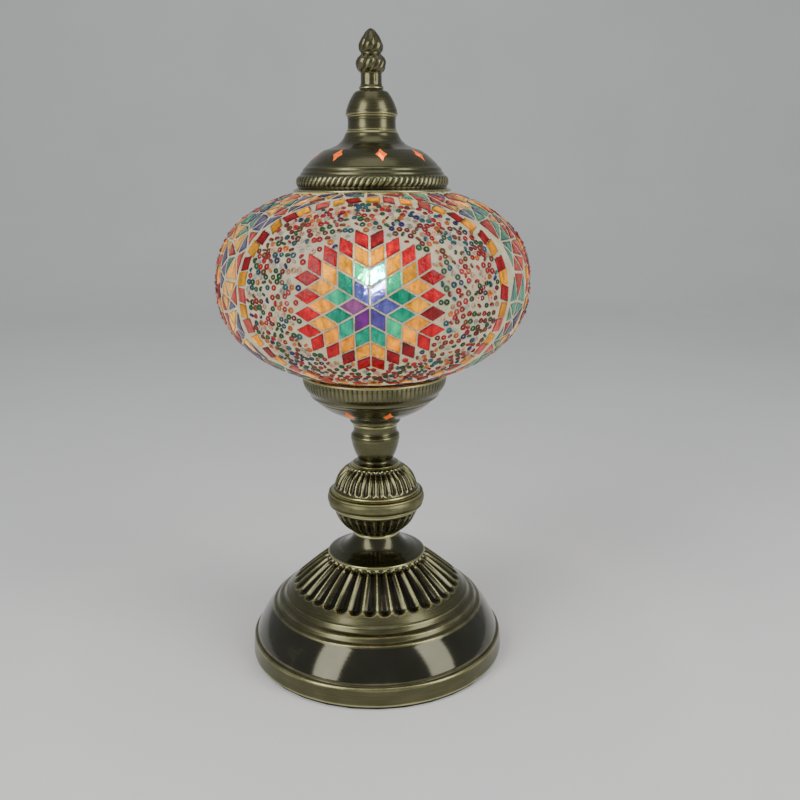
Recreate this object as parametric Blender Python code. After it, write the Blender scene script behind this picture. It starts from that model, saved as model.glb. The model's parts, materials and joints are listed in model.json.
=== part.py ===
"""Mosaic glass table lamp: a fluted brass stand, a blown globe with a mosaic skin, and a lift-off cap.

The frame has its origin at the centre of the underside, +Z up, and the lamp's front on -Y.
Lengths are in millimetres and are turned into metres by MM when the meshes are made.
"""
import math

import bmesh
import bpy
from mathutils import Vector

MM = 0.001

# ---- driving dimensions ----------------------------------------------------------------------
BASE_RADIUS = 91.3          # foot, at its lower edge
GLOBE_RADIUS = 105.2        # globe, over the mosaic
GLOBE_CENTRE = 269.2        # height of the globe's equator
GLOBE_RISE_UP = 65.2        # equator to the closed-up crown
GLOBE_RISE_DOWN = 67.2      # equator to the closed-up bottom
GLOBE_POWER_UP = 2.35       # squareness of the globe's upper half (2 is an ellipse)
GLOBE_POWER_DOWN = 2.25
SKIN_THICKNESS = 2.2        # tiles and their bed
MOSAIC_LOW = 49.4           # radius of the mosaic's lower edge
MOSAIC_HIGH = 47.2          # radius of its upper edge
GLOBE_STEPS = 10            # facets from the mosaic's lower edge to its upper edge
GLASS_OUTSET = 2.5          # depth of the glass's outer face under the mosaic's face
GLASS_INSET = 5.0           # depth of its inner face
NEAR_HOLE = 30.0            # radius where the glass starts to dish down to its bottom hole
GAP = 0.3                   # clearance that pieces resting on each other keep
BORE = 5.4                  # clearance hole for the centre tube
TUBE_RADIUS = 4.8           # M10 threaded tube
TUBE_BORE = 3.4
TUBE_LEVEL = 58.0           # its lower end
TUBE_LENGTH = 161.0
FOOT_ROOF = 67.9            # ceiling inside the foot, above the foot's edge
CUP_FLOOR = 8.0             # floor inside the cup, above the cup's foot
CAP_ROOF = 36.0             # ceiling inside the cap, above its lip
SPIGOT_RADIUS = 2.4         # M5 spigot of the finial
SPIGOT_BORE = 2.8
BULB_RADIUS = 22.5          # P45 bulb
SCREW_RADIUS = 6.9          # E14 screw cap

# ---- levels of the stacked pieces (height of each one's lower face) ------------------------------
PAD_HEIGHT = 2.2
FOOT_LEVEL = PAD_HEIGHT + GAP
SAUCER_LEVEL = 73.5
BALL_LOWER_LEVEL = 90.5
BALL_BAND_LEVEL = 110.5
BALL_UPPER_LEVEL = 121.8
NECK_LEVEL = 141.3
CUP_LEVEL = 170.7
SEAT_LEVEL = 206.9
CLAMP_LEVEL = 208.1
HOLDER_LEVEL = 214.6
BULB_LEVEL = 231.2
CAP_LEVEL = 329.0
SLEEVE_LEVEL = 367.5
BELL_LEVEL = 376.9
WASHER_LEVEL = 392.2
FINIAL_LEVEL = 393.2

# ---- facets round the axis -----------------------------------------------------------------------
ROUND = 32                  # large turned pieces
SMALL = 24                  # pieces about the size of the neck
FINE = 16                   # fittings

# ---- counts and small repeated features ----------------------------------------------------------
FOOT_FLUTES = 36
BALL_UPPER_FLUTES = 36
BALL_LOWER_FLUTES = 30
FLUTE_DEPTH = 1.5
BALL_FLUTE_DEPTH = 1.2
LEAVES = 10
LEAF_DEPTH = 0.9
STARS = 8
STAR_LENGTH = 6.3           # half the star's length, along the slope
STAR_WIDTH = 3.7            # half its width
STAR_WAIST = 0.30           # how far the curved sides come in towards the middle
STAR_REACH = 6.0            # how far a star's cutter reaches either side of the wall
CUP_STAR_RADIUS = 34.0
CUP_STAR_RISE = 12.9        # above the cup's foot
CAP_STAR_RADIUS = 36.6
CAP_STAR_RISE = 23.0        # above the cap's lip
CUP_STAR_SLOPE = math.radians(31)
CAP_STAR_SLOPE = math.radians(-37)
CUP_STAR_TURN = math.radians(-75)       # azimuth of the first star
CAP_STAR_TURN = math.radians(-81)
GROMMET_HEIGHT = 9.4
GROMMET_HOLE = 4.0
GROMMET_START = 80.0        # how far behind the axis the hole's cutter starts
GROMMET_REACH = 20.0
GROMMET_FACE = 85.2         # inner end of the bush, behind the axis


# ---- tools --------------------------------------------------------------------------------------
def clear_scene():
    for item in list(bpy.data.objects):
        bpy.data.objects.remove(item, do_unlink=True)


def make_material(name, colour, roughness, metallic=0.0, transmission=0.0):
    material = bpy.data.materials.new(name)
    material.use_nodes = True
    shader = material.node_tree.nodes["Principled BSDF"]
    shader.inputs["Base Color"].default_value = (*colour, 1.0)
    shader.inputs["Roughness"].default_value = roughness
    shader.inputs["Metallic"].default_value = metallic
    shader.inputs["Transmission Weight"].default_value = transmission
    return material


def make_group(name, level=0.0, parent=None):
    """An empty that carries the pieces which move together."""
    group = bpy.data.objects.new(name, None)
    group.empty_display_size = 0.02
    bpy.context.collection.objects.link(group)
    group.parent = parent
    base = parent.location.z if parent else 0.0
    group.location = (0.0, 0.0, level * MM - base)
    return group


def add_piece(name, mesh, material, group, level=0.0):
    """Link a mesh as a named piece whose own origin lies on the lamp's axis at level."""
    mesh.materials.append(material)
    mesh.shade_smooth()
    mesh.set_sharp_from_angle(angle=math.radians(32))
    piece = bpy.data.objects.new(name, mesh)
    bpy.context.collection.objects.link(piece)
    piece.parent = group
    piece.location = (0.0, 0.0, level * MM - group.location.z)
    return piece


def mesh_from(bm, name):
    bmesh.ops.recalc_face_normals(bm, faces=bm.faces[:])
    mesh = bpy.data.meshes.new(name)
    bm.to_mesh(mesh)
    bm.free()
    return mesh


def bow(start, end, height, steps):
    """Points after start, up to end, on a shallow arc that stands height off the chord's right side."""
    along = (end[0] - start[0], end[1] - start[1])
    length = math.hypot(*along)
    side = (along[1] / length, -along[0] / length)
    points = []
    for step in range(1, steps + 1):
        t = step / steps
        lift = 4.0 * height * t * (1.0 - t)
        points.append((start[0] + along[0] * t + side[0] * lift, start[1] + along[1] * t + side[1] * lift))
    return points


def fluted(points, depth):
    """Mark profile points whose ring has a ridge and a valley for each flute (depth 0: plain)."""
    return [(radius, height, depth) for radius, height in points]


def make_ring(bm, station, segments):
    """One turned ring of vertices, or a single vertex on the axis."""
    radius, height = station[0] * MM, station[1] * MM
    if radius == 0.0:
        return [bm.verts.new((0.0, 0.0, height))]
    fine = len(station) == 3
    count = segments * 2 if fine else segments
    ring = []
    for index in range(count):
        angle = math.tau * index / count
        reach = radius - station[2] * MM if fine and index % 2 else radius
        ring.append(bm.verts.new((reach * math.cos(angle), reach * math.sin(angle), height)))
    return ring


def bridge(bm, low, high):
    """Faces between two rings of equal count, of count n and 2n, or of a ring and one vertex."""
    if len(low) > len(high):
        low, high = high, low
    few = len(low)
    many = len(high)
    for index in range(many if few == 1 else few):
        after = (index + 1) % max(few, 1)
        if few == 1:
            bm.faces.new((low[0], high[index], high[(index + 1) % many]))
        elif few == many:
            bm.faces.new((low[index], low[after], high[after], high[index]))
        else:
            left, middle, right = high[2 * index], high[2 * index + 1], high[(2 * index + 2) % many]
            bm.faces.new((low[index], left, middle))
            bm.faces.new((low[index], middle, low[after]))
            bm.faces.new((middle, right, low[after]))


def turned(name, profile, segments):
    """A closed solid of revolution; the profile is a closed loop, or runs from axis to axis."""
    bm = bmesh.new()
    rings = [make_ring(bm, station, segments) for station in profile]
    open_ended = len(rings[0]) == 1
    for low, high in zip(rings, rings[1:]):
        bridge(bm, low, high)
    if not open_ended:
        bridge(bm, rings[-1], rings[0])
    return mesh_from(bm, name)


def ring_mesh(name, outer, inner, height, segments):
    return turned(name, [(outer, 0.0), (outer, height), (inner, height), (inner, 0.0)], segments)


def nut_mesh(name, across_flats, bore, height, segments=12):
    """A hexagon nut: a six-sided outside bridged to a round bore."""
    corner = across_flats / math.sqrt(3.0)
    bm = bmesh.new()
    outer = []
    inner = []
    for level in (0.0, height * MM):
        hexagon = []
        circle = []
        for index in range(segments):
            angle = math.tau * index / segments
            turn = angle % (math.tau / 6.0) - math.tau / 12.0
            reach = corner * math.cos(math.tau / 12.0) / math.cos(turn) * MM
            hexagon.append(bm.verts.new((reach * math.cos(angle), reach * math.sin(angle), level)))
            circle.append(bm.verts.new((bore * MM * math.cos(angle), bore * MM * math.sin(angle), level)))
        outer.append(hexagon)
        inner.append(circle)
    bridge(bm, outer[0], outer[1])
    bridge(bm, inner[0], inner[1])
    bridge(bm, outer[0], inner[0])
    bridge(bm, outer[1], inner[1])
    return mesh_from(bm, name)


def cut(piece, cutter):
    """Take the cutter's shape out of the piece; the cutter stays as a hidden guide."""
    cutter.hide_render = True
    cutter.display_type = "WIRE"
    modifier = piece.modifiers.new("cut", "BOOLEAN")
    modifier.operation = "DIFFERENCE"
    modifier.solver = "EXACT"
    modifier.object = cutter


def star_cutter(name, radius, height, slope, group, first_angle):
    """Eight star prisms around the axis, each square to a wall that leans by slope from the level."""
    bm = bmesh.new()
    depth = STAR_REACH * MM
    for index in range(STARS):
        azimuth = first_angle + math.tau * index / STARS
        outward = Vector((math.cos(azimuth), math.sin(azimuth), 0.0))
        across = Vector((-math.sin(azimuth), math.cos(azimuth), 0.0))
        along = outward * math.cos(slope) + Vector((0.0, 0.0, math.sin(slope)))
        normal = along.cross(across)
        centre = outward * radius * MM + Vector((0.0, 0.0, height * MM))
        ends = []
        for side in (-depth, depth):
            end = []
            for corner in range(8):
                angle = math.tau * corner / 8.0
                reach = 1.0 if corner % 2 == 0 else 1.0 - STAR_WAIST
                shift = along * STAR_LENGTH * math.cos(angle) + across * STAR_WIDTH * math.sin(angle)
                end.append(bm.verts.new(centre + shift * reach * MM + normal * side))
            ends.append(end)
        bm.faces.new(ends[0])
        bm.faces.new(ends[1])
        bridge(bm, ends[0], ends[1])
    mesh = mesh_from(bm, name)
    cutter = bpy.data.objects.new(name, mesh)
    bpy.context.collection.objects.link(cutter)
    cutter.parent = group
    cutter.location = (0.0, 0.0, -group.location.z)
    return cutter


def globe_height(radius, depth, upper):
    """Height of the globe's surface, depth under the mosaic's face, where it has this radius."""
    rise = (GLOBE_RISE_UP if upper else GLOBE_RISE_DOWN) - depth
    power = GLOBE_POWER_UP if upper else GLOBE_POWER_DOWN
    share = (1.0 - (radius / (GLOBE_RADIUS - depth)) ** power) ** (1.0 / power)
    return GLOBE_CENTRE + (rise if upper else -rise) * share


def globe_line(depth):
    """Profile of the mosaic's stretch of the globe at a depth under its face, bottom to top."""
    start = math.asin(MOSAIC_LOW / GLOBE_RADIUS)
    finish = math.pi - math.asin(MOSAIC_HIGH / GLOBE_RADIUS)
    points = []
    for step in range(GLOBE_STEPS + 1):
        angle = start + (finish - start) * step / GLOBE_STEPS
        radius = (GLOBE_RADIUS - depth) * math.sin(angle)
        points.append((radius, globe_height(radius, depth, angle > math.pi / 2.0)))
    return points


# ---- stand --------------------------------------------------------------------------------------
def make_foot(group, brass, steel, rubber, bush):
    pad = turned("base_pad", [(0.0, 0.0), (89.4, 0.0), (89.4, PAD_HEIGHT), (0.0, PAD_HEIGHT)], ROUND)
    add_piece("base_pad", pad, rubber, group)

    outside = [(BASE_RADIUS, 0.0), (90.6, 11.7), (88.6, 13.3), (88.0, 15.1)]
    outside += bow((88.0, 15.1), (75.6, 34.1), 0.9, 2)
    outside += [(75.0, 35.1), (73.0, 36.7), (71.4, 39.3), (67.6, 40.9), (65.6, 43.9), (60.6, 47.8)]
    outside += fluted([(58.4, 49.6)], 0.0) + fluted([(56.8, 50.8), (49.4, 57.7), (39.4, 66.2)], FLUTE_DEPTH)
    outside += [(37.4, 67.7), (33.6, 69.1), (33.6, 70.7)]
    inside = [(BORE, 70.7), (BORE, FOOT_ROOF), (31.5, FOOT_ROOF), (57.0, 45.4), (72.6, 32.6)]
    inside += [(84.6, 13.6), (88.4, 10.8), (88.9, 0.0)]
    shell = turned("base_shell", outside + inside, FOOT_FLUTES)
    foot = add_piece("base_shell", shell, brass, group, FOOT_LEVEL)

    hole = bpy.data.objects.new("grommet_hole", turned("grommet_hole", [
        (0.0, 0.0), (GROMMET_HOLE, 0.0), (GROMMET_HOLE, GROMMET_REACH), (0.0, GROMMET_REACH)], FINE))
    bpy.context.collection.objects.link(hole)
    hole.location = (0.0, GROMMET_START * MM, GROMMET_HEIGHT * MM)
    hole.rotation_euler = (-math.pi / 2.0, 0.0, 0.0)
    hole.parent = group
    cut(foot, hole)

    plate = ring_mesh("bottom_plate", 87.9, BORE, 1.2, ROUND)
    add_piece("bottom_plate", plate, steel, group, FOOT_LEVEL)

    grommet = turned("cord_grommet", [
        (2.2, 0.0), (4.7, 0.0), (4.7, 1.6), (3.7, 1.6), (3.7, 5.5), (2.2, 5.5)], FINE)
    bush_piece = add_piece("cord_grommet", grommet, bush, group)
    bush_piece.location = (0.0, GROMMET_FACE * MM, GROMMET_HEIGHT * MM)
    bush_piece.rotation_euler = (-math.pi / 2.0, 0.0, 0.0)


def make_saucer(group, brass):
    outside = [(34.6, 0.0), (35.1, 1.5), (26.2, 4.3)]
    outside += bow((26.2, 4.3), (17.0, 12.9), -0.9, 2) + [(16.4, 16.7)]
    inside = [(BORE, 16.7), (BORE, 13.4), (13.6, 13.4), (16.8, 7.4), (22.4, 3.0), (29.5, 0.0)]
    add_piece("base_saucer", turned("base_saucer", outside + inside, ROUND), brass, group, SAUCER_LEVEL)


def make_ball(group, brass):
    outside = [(17.2, 0.0), (19.4, 1.7)]
    outside += fluted([(21.4, 3.6), (25.8, 8.5), (29.4, 15.2)], BALL_FLUTE_DEPTH)
    outside += [(30.8, 18.0), (30.8, 19.7)]
    inside = [(28.4, 19.7), (26.2, 14.2), (21.0, 6.6), (16.0, 3.2), (BORE, 3.2), (BORE, 0.0)]
    lower = turned("ball_lower", outside + inside, BALL_LOWER_FLUTES)
    add_piece("ball_lower", lower, brass, group, BALL_LOWER_LEVEL)

    outside = [(32.3, 0.0)] + bow((32.3, 0.0), (31.7, 11.0), 2.9, 4)
    band = turned("ball_band", outside + [(26.5, 11.0), (26.5, 0.0)], ROUND)
    add_piece("ball_band", band, brass, group, BALL_BAND_LEVEL)

    outside = [(30.4, 0.0), (30.0, 1.8)]
    outside += fluted([(29.2, 3.2), (25.4, 10.2), (20.4, 16.2)], BALL_FLUTE_DEPTH)
    outside += [(18.4, 17.8), (16.8, 19.2)]
    inside = [(BORE, 19.2), (BORE, 16.6), (15.0, 16.0), (19.4, 12.0), (24.2, 5.4), (27.2, 0.0)]
    upper = turned("ball_upper", outside + inside, BALL_UPPER_FLUTES)
    add_piece("ball_upper", upper, brass, group, BALL_UPPER_LEVEL)


def make_neck(group, brass):
    outside = [(16.4, 0.0), (13.4, 1.3), (12.0, 3.3)] + bow((12.0, 3.3), (16.9, 16.3), 0.3, 2)
    outside += [(17.3, 19.2), (17.0, 21.4), (15.8, 22.7), (15.3, 26.2), (16.0, 29.1)]
    neck = turned("neck_column", outside + [(BORE, 29.1), (BORE, 0.0)], SMALL)
    add_piece("neck_column", neck, brass, group, NECK_LEVEL)


def make_cup(group, brass, rubber):
    outside = [(16.2, 0.0), (17.5, 1.6), (17.5, 3.6), (22.6, 6.5), (34.4, 12.4), (38.8, 15.9)]
    outside += [(42.2, 18.9), (42.8, 20.4), (45.2, 22.4), (46.0, 25.2)]
    outside += bow((46.0, 25.2), (49.6, 33.8), 0.9, 2) + [(50.5, 34.4), (50.5, 35.9)]
    inside = [(46.4, 35.9), (46.2, 30.4), (44.0, 25.6), (32.4, 13.9)]
    inside += [(21.0, CUP_FLOOR), (BORE, CUP_FLOOR), (BORE, 0.0)]
    cup = add_piece("globe_cup", turned("globe_cup", outside + inside, ROUND), brass, group, CUP_LEVEL)
    star_level = CUP_LEVEL + CUP_STAR_RISE
    cut(cup, star_cutter("cup_stars", CUP_STAR_RADIUS, star_level, CUP_STAR_SLOPE, group, CUP_STAR_TURN))

    outer, inner = 47.8, 43.0
    seat = [(outer, 0.0), (outer, globe_height(outer, GLASS_OUTSET, False) - SEAT_LEVEL - 0.5)]
    seat += [(inner, globe_height(inner, GLASS_OUTSET, False) - SEAT_LEVEL - 0.5), (inner, 0.0)]
    add_piece("cup_seat_ring", turned("cup_seat_ring", seat, ROUND), rubber, group, SEAT_LEVEL)


def make_tube(group, steel, rubber, brass):
    tube = ring_mesh("centre_tube", TUBE_RADIUS, TUBE_BORE, TUBE_LENGTH, FINE)
    add_piece("centre_tube", tube, steel, group, TUBE_LEVEL)
    foot_roof = FOOT_LEVEL + FOOT_ROOF
    add_piece("base_washer", ring_mesh("base_washer", 14.0, BORE, 1.2, FINE), steel, group, foot_roof - 1.5)
    add_piece("base_nut", nut_mesh("base_nut", 17.0, TUBE_RADIUS + GAP, 6.0), steel, group, foot_roof - 7.8)
    cup_floor = CUP_LEVEL + CUP_FLOOR
    add_piece("cup_washer", ring_mesh("cup_washer", 12.0, BORE, 1.2, FINE), steel, group, cup_floor + GAP)
    add_piece("cup_nut", nut_mesh("cup_nut", 17.0, TUBE_RADIUS + GAP, 5.0), steel, group, cup_floor + 1.8)
    gasket = ring_mesh("clamp_gasket", 18.0, BORE, 1.1, SMALL)
    add_piece("clamp_gasket", gasket, rubber, group, CLAMP_LEVEL)
    plate = ring_mesh("clamp_plate", 18.0, BORE, 1.2, SMALL)
    add_piece("clamp_plate", plate, brass, group, CLAMP_LEVEL + 1.4)
    nut = nut_mesh("clamp_nut", 14.0, TUBE_RADIUS + GAP, 3.2)
    add_piece("clamp_nut", nut, steel, group, CLAMP_LEVEL + 2.9)


def make_globe(group, glass, mosaic):
    hole = 8.0
    throat = 41.3
    outside = [(radius, globe_height(radius, GLASS_OUTSET, False)) for radius in (hole, NEAR_HOLE)]
    outside += globe_line(GLASS_OUTSET) + [(43.8, 329.6), (43.8, 334.0)]
    inside = [(throat, 334.0), (throat, 326.2)] + globe_line(GLASS_INSET)[::-1]
    inside += [(radius, globe_height(radius, GLASS_INSET, False)) for radius in (NEAR_HOLE, hole)]
    add_piece("globe_glass", turned("globe_glass", outside + inside, ROUND), glass, group)
    skin = globe_line(0.0) + globe_line(SKIN_THICKNESS)[::-1]
    add_piece("mosaic_skin", turned("mosaic_skin", skin, ROUND), mosaic, group)


def make_lampholder(group, resin, ceramic, brass):
    cap = [(8.6, 0.0), (8.6, 2.0), (13.6, 5.4), (13.6, 8.0)]
    cap += [(12.2, 8.0), (12.2, 6.2), (5.15, 3.0), (5.15, 0.0)]
    add_piece("lampholder_cap", turned("lampholder_cap", cap, SMALL), resin, group, HOLDER_LEVEL)
    shell = [(13.8, 0.0), (13.8, 16.0), (12.4, 23.0), (10.6, 23.0), (11.8, 15.4), (12.2, 0.0)]
    shell_mesh = turned("lampholder_shell", shell, SMALL)
    add_piece("lampholder_shell", shell_mesh, resin, group, HOLDER_LEVEL + 8.3)
    core = ring_mesh("lampholder_core", 11.2, 1.2, 5.6, FINE)
    add_piece("lampholder_core", core, ceramic, group, HOLDER_LEVEL + 8.4)
    thread = ring_mesh("lampholder_thread", 8.3, 7.6, 16.0, FINE)
    add_piece("lampholder_thread", thread, brass, group, HOLDER_LEVEL + 14.3)
    button = [(0.0, 0.0), (3.0, 0.0), (3.0, 0.7), (1.6, 1.4), (0.0, 1.4)]
    contact = turned("lampholder_contact", button, FINE)
    add_piece("lampholder_contact", contact, brass, group, HOLDER_LEVEL + 14.3)


# ---- bulb ---------------------------------------------------------------------------------------
def make_bulb(rise, turn, glass, nickel, black, wire):
    contact = turned("bulb_contact", [(0.0, 0.0), (1.5, 0.0), (2.4, 0.6), (2.4, 1.2), (0.0, 1.2)], FINE)
    add_piece("bulb_contact", contact, nickel, rise, BULB_LEVEL)
    button = turned("bulb_insulator", [(0.0, 0.0), (3.0, 0.0), (5.0, 2.4), (0.0, 2.4)], FINE)
    add_piece("bulb_insulator", button, black, turn, BULB_LEVEL + 1.5)
    cup = [(5.2, 0.0), (SCREW_RADIUS, 1.6), (SCREW_RADIUS, 16.0)]
    cup += [(6.5, 16.0), (6.5, 2.0), (4.0, 0.5), (4.0, 0.0)]
    add_piece("bulb_screw_cap", turned("bulb_screw_cap", cup, FINE), nickel, turn, BULB_LEVEL + 4.2)

    centre = 47.6
    envelope = [(5.9, 13.0), (5.9, 20.8), (7.4, 23.0)]
    hollow = [(5.0, 13.0), (5.0, 21.2), (6.6, 23.6)]
    steps = 6
    for step in range(steps + 1):
        angle = math.radians(-65.0 + 155.0 * step / steps)
        reach = math.cos(angle) if step < steps else 0.0
        envelope.append((BULB_RADIUS * reach, centre + BULB_RADIUS * math.sin(angle)))
        hollow.append(((BULB_RADIUS - 0.9) * reach, centre + (BULB_RADIUS - 0.9) * math.sin(angle)))
    bulb = bmesh.new()
    outer = [make_ring(bulb, station, FINE) for station in envelope]
    inner = [make_ring(bulb, station, FINE) for station in hollow]
    for line in (outer, inner):
        for low, high in zip(line, line[1:]):
            bridge(bulb, low, high)
    bridge(bulb, outer[0], inner[0])
    add_piece("bulb_glass", mesh_from(bulb, "bulb_glass"), glass, turn, BULB_LEVEL)

    stem_foot = 8.0
    stem_height = 22.0
    stem = [(0.0, 0.0), (3.2, 0.0), (3.0, 10.0), (1.4, 14.0), (1.2, stem_height), (0.0, stem_height)]
    add_piece("bulb_stem", turned("bulb_stem", stem, FINE), glass, turn, BULB_LEVEL + stem_foot)

    curve = bpy.data.curves.new("bulb_filament", "CURVE")
    curve.dimensions = "3D"
    curve.bevel_depth = 0.35 * MM
    curve.bevel_resolution = 1
    curve.use_fill_caps = True
    spline = curve.splines.new("POLY")
    sides = 10
    loop_radius = 7.0
    spline.points.add(sides)
    for index in range(sides + 1):
        angle = math.radians(-80.0 + 340.0 * index / sides)
        across = loop_radius * math.cos(angle)
        height = loop_radius * (1.0 + math.sin(angle)) + 0.9
        spline.points[index].co = (across * MM, 0.0, height * MM, 1.0)
    filament = bpy.data.objects.new("bulb_filament", curve)
    curve.materials.append(wire)
    bpy.context.collection.objects.link(filament)
    filament.parent = turn
    filament.location = (0.0, 0.0, (BULB_LEVEL + stem_foot + stem_height) * MM - turn.location.z)


# ---- cap and finial -----------------------------------------------------------------------------
def make_cap(group, brass, steel):
    outside = [(52.3, 0.0), (52.0, 1.2)] + bow((49.4, 2.4), (49.2, 9.4), 0.7, 2)
    outside += [(47.6, 10.4), (45.5, 13.6), (43.9, 16.4)]
    outside += bow((43.9, 16.4), (31.4, 26.2), 0.7, 2) + [(26.4, 28.0), (22.6, 29.4), (16.2, 38.2)]
    inside = [(SPIGOT_BORE, 38.2), (SPIGOT_BORE, CAP_ROOF), (13.4, CAP_ROOF), (20.6, 27.0)]
    inside += [(30.6, 23.4), (41.6, 15.0), (46.4, 7.6), (46.4, 1.6)]
    dome = add_piece("cap_dome", turned("cap_dome", outside + inside, ROUND), brass, group, CAP_LEVEL)
    star_level = CAP_LEVEL + CAP_STAR_RISE
    cut(dome, star_cutter("cap_stars", CAP_STAR_RADIUS, star_level, CAP_STAR_SLOPE, group, CAP_STAR_TURN))

    sleeve = [(16.1, 0.0), (15.8, 1.2), (15.8, 7.9), (16.2, 9.1), (13.2, 9.1), (13.2, 0.0)]
    add_piece("cap_sleeve", turned("cap_sleeve", sleeve, SMALL), brass, group, SLEEVE_LEVEL)
    bell = [(16.8, 0.0), (17.0, 1.6)] + bow((17.0, 1.6), (11.2, 13.9), 0.9, 3) + [(9.6, 15.0)]
    bell += [(SPIGOT_BORE, 15.0), (SPIGOT_BORE, 12.6), (9.4, 12.2), (13.6, 5.0), (14.2, 0.0)]
    add_piece("cap_bell", turned("cap_bell", bell, SMALL), brass, group, BELL_LEVEL)
    roof = CAP_LEVEL + CAP_ROOF
    nut = nut_mesh("cap_nut", 8.0, SPIGOT_RADIUS + GAP, 4.2)
    add_piece("cap_nut", nut, steel, group, roof - GAP - 4.2)


def make_finial(rise, turn, brass, fibre):
    washer = ring_mesh("finial_washer", 7.6, SPIGOT_BORE, 0.7, FINE)
    add_piece("finial_washer", washer, fibre, rise, WASHER_LEVEL)
    spigot = [(0.0, -34.0), (SPIGOT_RADIUS, -34.0), (SPIGOT_RADIUS, 0.0)]
    stem = [(8.0, 0.0), (7.9, 0.9), (7.0, 2.2), (6.7, 4.8), (6.7, 9.2)]
    leaves = fluted([(8.2, 11.6), (9.6, 15.0), (9.1, 17.6), (7.4, 20.0)], LEAF_DEPTH)
    bud = [(6.8, 22.6)] + fluted([(7.8, 26.4), (6.9, 28.8), (5.2, 31.6), (3.5, 34.0)], LEAF_DEPTH * 0.6)
    tip = [(1.4, 36.2), (0.0, 36.8)]
    finial = turned("finial", spigot + stem + leaves + bud + tip, LEAVES)
    add_piece("finial", finial, brass, turn, FINIAL_LEVEL)


def main():
    clear_scene()
    brass = make_material("antique_brass", (0.22, 0.19, 0.11), 0.32, metallic=1.0)
    steel = make_material("plated_steel", (0.55, 0.55, 0.53), 0.35, metallic=1.0)
    bright = make_material("bright_brass", (0.72, 0.56, 0.27), 0.3, metallic=1.0)
    nickel = make_material("nickel", (0.62, 0.60, 0.56), 0.3, metallic=1.0)
    rubber = make_material("black_rubber", (0.02, 0.02, 0.02), 0.8)
    resin = make_material("black_resin", (0.03, 0.03, 0.03), 0.45)
    ceramic = make_material("white_ceramic", (0.85, 0.84, 0.8), 0.4)
    clear = make_material("clear_glass", (0.95, 0.97, 0.96), 0.05, transmission=1.0)
    mosaic = make_material("mosaic_glass", (0.62, 0.22, 0.10), 0.25, transmission=0.4)
    tungsten = make_material("filament_wire", (0.9, 0.6, 0.25), 0.4, metallic=1.0)

    stand = make_group("stand")
    make_foot(stand, brass, steel, rubber, resin)
    make_saucer(stand, brass)
    make_ball(stand, brass)
    make_neck(stand, brass)
    make_cup(stand, brass, rubber)
    make_tube(stand, steel, rubber, bright)
    make_globe(stand, clear, mosaic)
    make_lampholder(stand, resin, ceramic, bright)

    bulb_rise = make_group("bulb_rise", BULB_LEVEL, stand)
    bulb_turn = make_group("bulb_turn", BULB_LEVEL, stand)
    make_bulb(bulb_rise, bulb_turn, clear, nickel, resin, tungsten)

    cap = make_group("cap", CAP_LEVEL, stand)
    make_cap(cap, brass, steel)
    finial_rise = make_group("finial_rise", WASHER_LEVEL, stand)
    finial_turn = make_group("finial_turn", FINIAL_LEVEL, stand)
    make_finial(finial_rise, finial_turn, brass, rubber)


main()
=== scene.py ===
"""Mosaic glass table lamp: the visible pieces, their materials, the studio and the camera.

Lengths are in millimetres and are turned into metres by MM when the meshes are made. Heights in an
outline are measured from the lower face of the node that the piece stands for. An azimuth of
-90 degrees is the lamp's front.
"""
import json
import math
import random

import bmesh
import bpy
import numpy as np
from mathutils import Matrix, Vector, geometry, noise


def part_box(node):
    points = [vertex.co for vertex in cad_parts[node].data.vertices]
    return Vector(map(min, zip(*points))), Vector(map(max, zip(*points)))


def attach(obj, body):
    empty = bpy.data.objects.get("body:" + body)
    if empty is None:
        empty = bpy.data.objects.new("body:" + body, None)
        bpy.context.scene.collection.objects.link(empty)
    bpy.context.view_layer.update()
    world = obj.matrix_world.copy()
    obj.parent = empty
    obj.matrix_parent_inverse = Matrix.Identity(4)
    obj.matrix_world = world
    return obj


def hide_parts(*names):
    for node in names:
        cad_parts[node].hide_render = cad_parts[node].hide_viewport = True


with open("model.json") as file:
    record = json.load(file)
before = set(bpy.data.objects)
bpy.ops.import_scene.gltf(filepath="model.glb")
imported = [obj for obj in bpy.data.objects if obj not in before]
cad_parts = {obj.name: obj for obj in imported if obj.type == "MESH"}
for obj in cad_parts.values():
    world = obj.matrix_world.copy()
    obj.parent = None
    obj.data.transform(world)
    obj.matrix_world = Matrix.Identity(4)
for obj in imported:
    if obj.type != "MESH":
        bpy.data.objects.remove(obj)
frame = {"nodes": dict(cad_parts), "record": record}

SEED = 11
noise.seed_set(SEED)        # noise_vector is otherwise seeded from the clock, and the beads change each run

MM = 0.001
FRONT = math.radians(-90.0)
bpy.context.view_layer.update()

# ---- the globe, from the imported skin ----
skin_low, skin_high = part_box("mosaic_skin")
GLOBE_RADIUS = skin_high.x / MM
GLOBE_CENTRE = 269.2        # height of the equator
GLOBE_RISE = {1: 65.2, -1: 67.2}        # equator to the closed-up crown, and to the bottom
GLOBE_POWER = {1: 2.35, -1: 2.25}       # squareness of the two halves (2 is an ellipse)
SKIN_LOW = skin_low.z / MM
SKIN_HIGH = skin_high.z / MM
SKIN_THICKNESS = 2.2        # tiles and their bed
GLASS_OUTSET = 2.5          # depth of the glass's outer face under the mosaic's face
GLASS_INSET = 5.0           # depth of its inner face
GROUT_DEPTH = 0.75          # the bed's face under the tiles' faces

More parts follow.
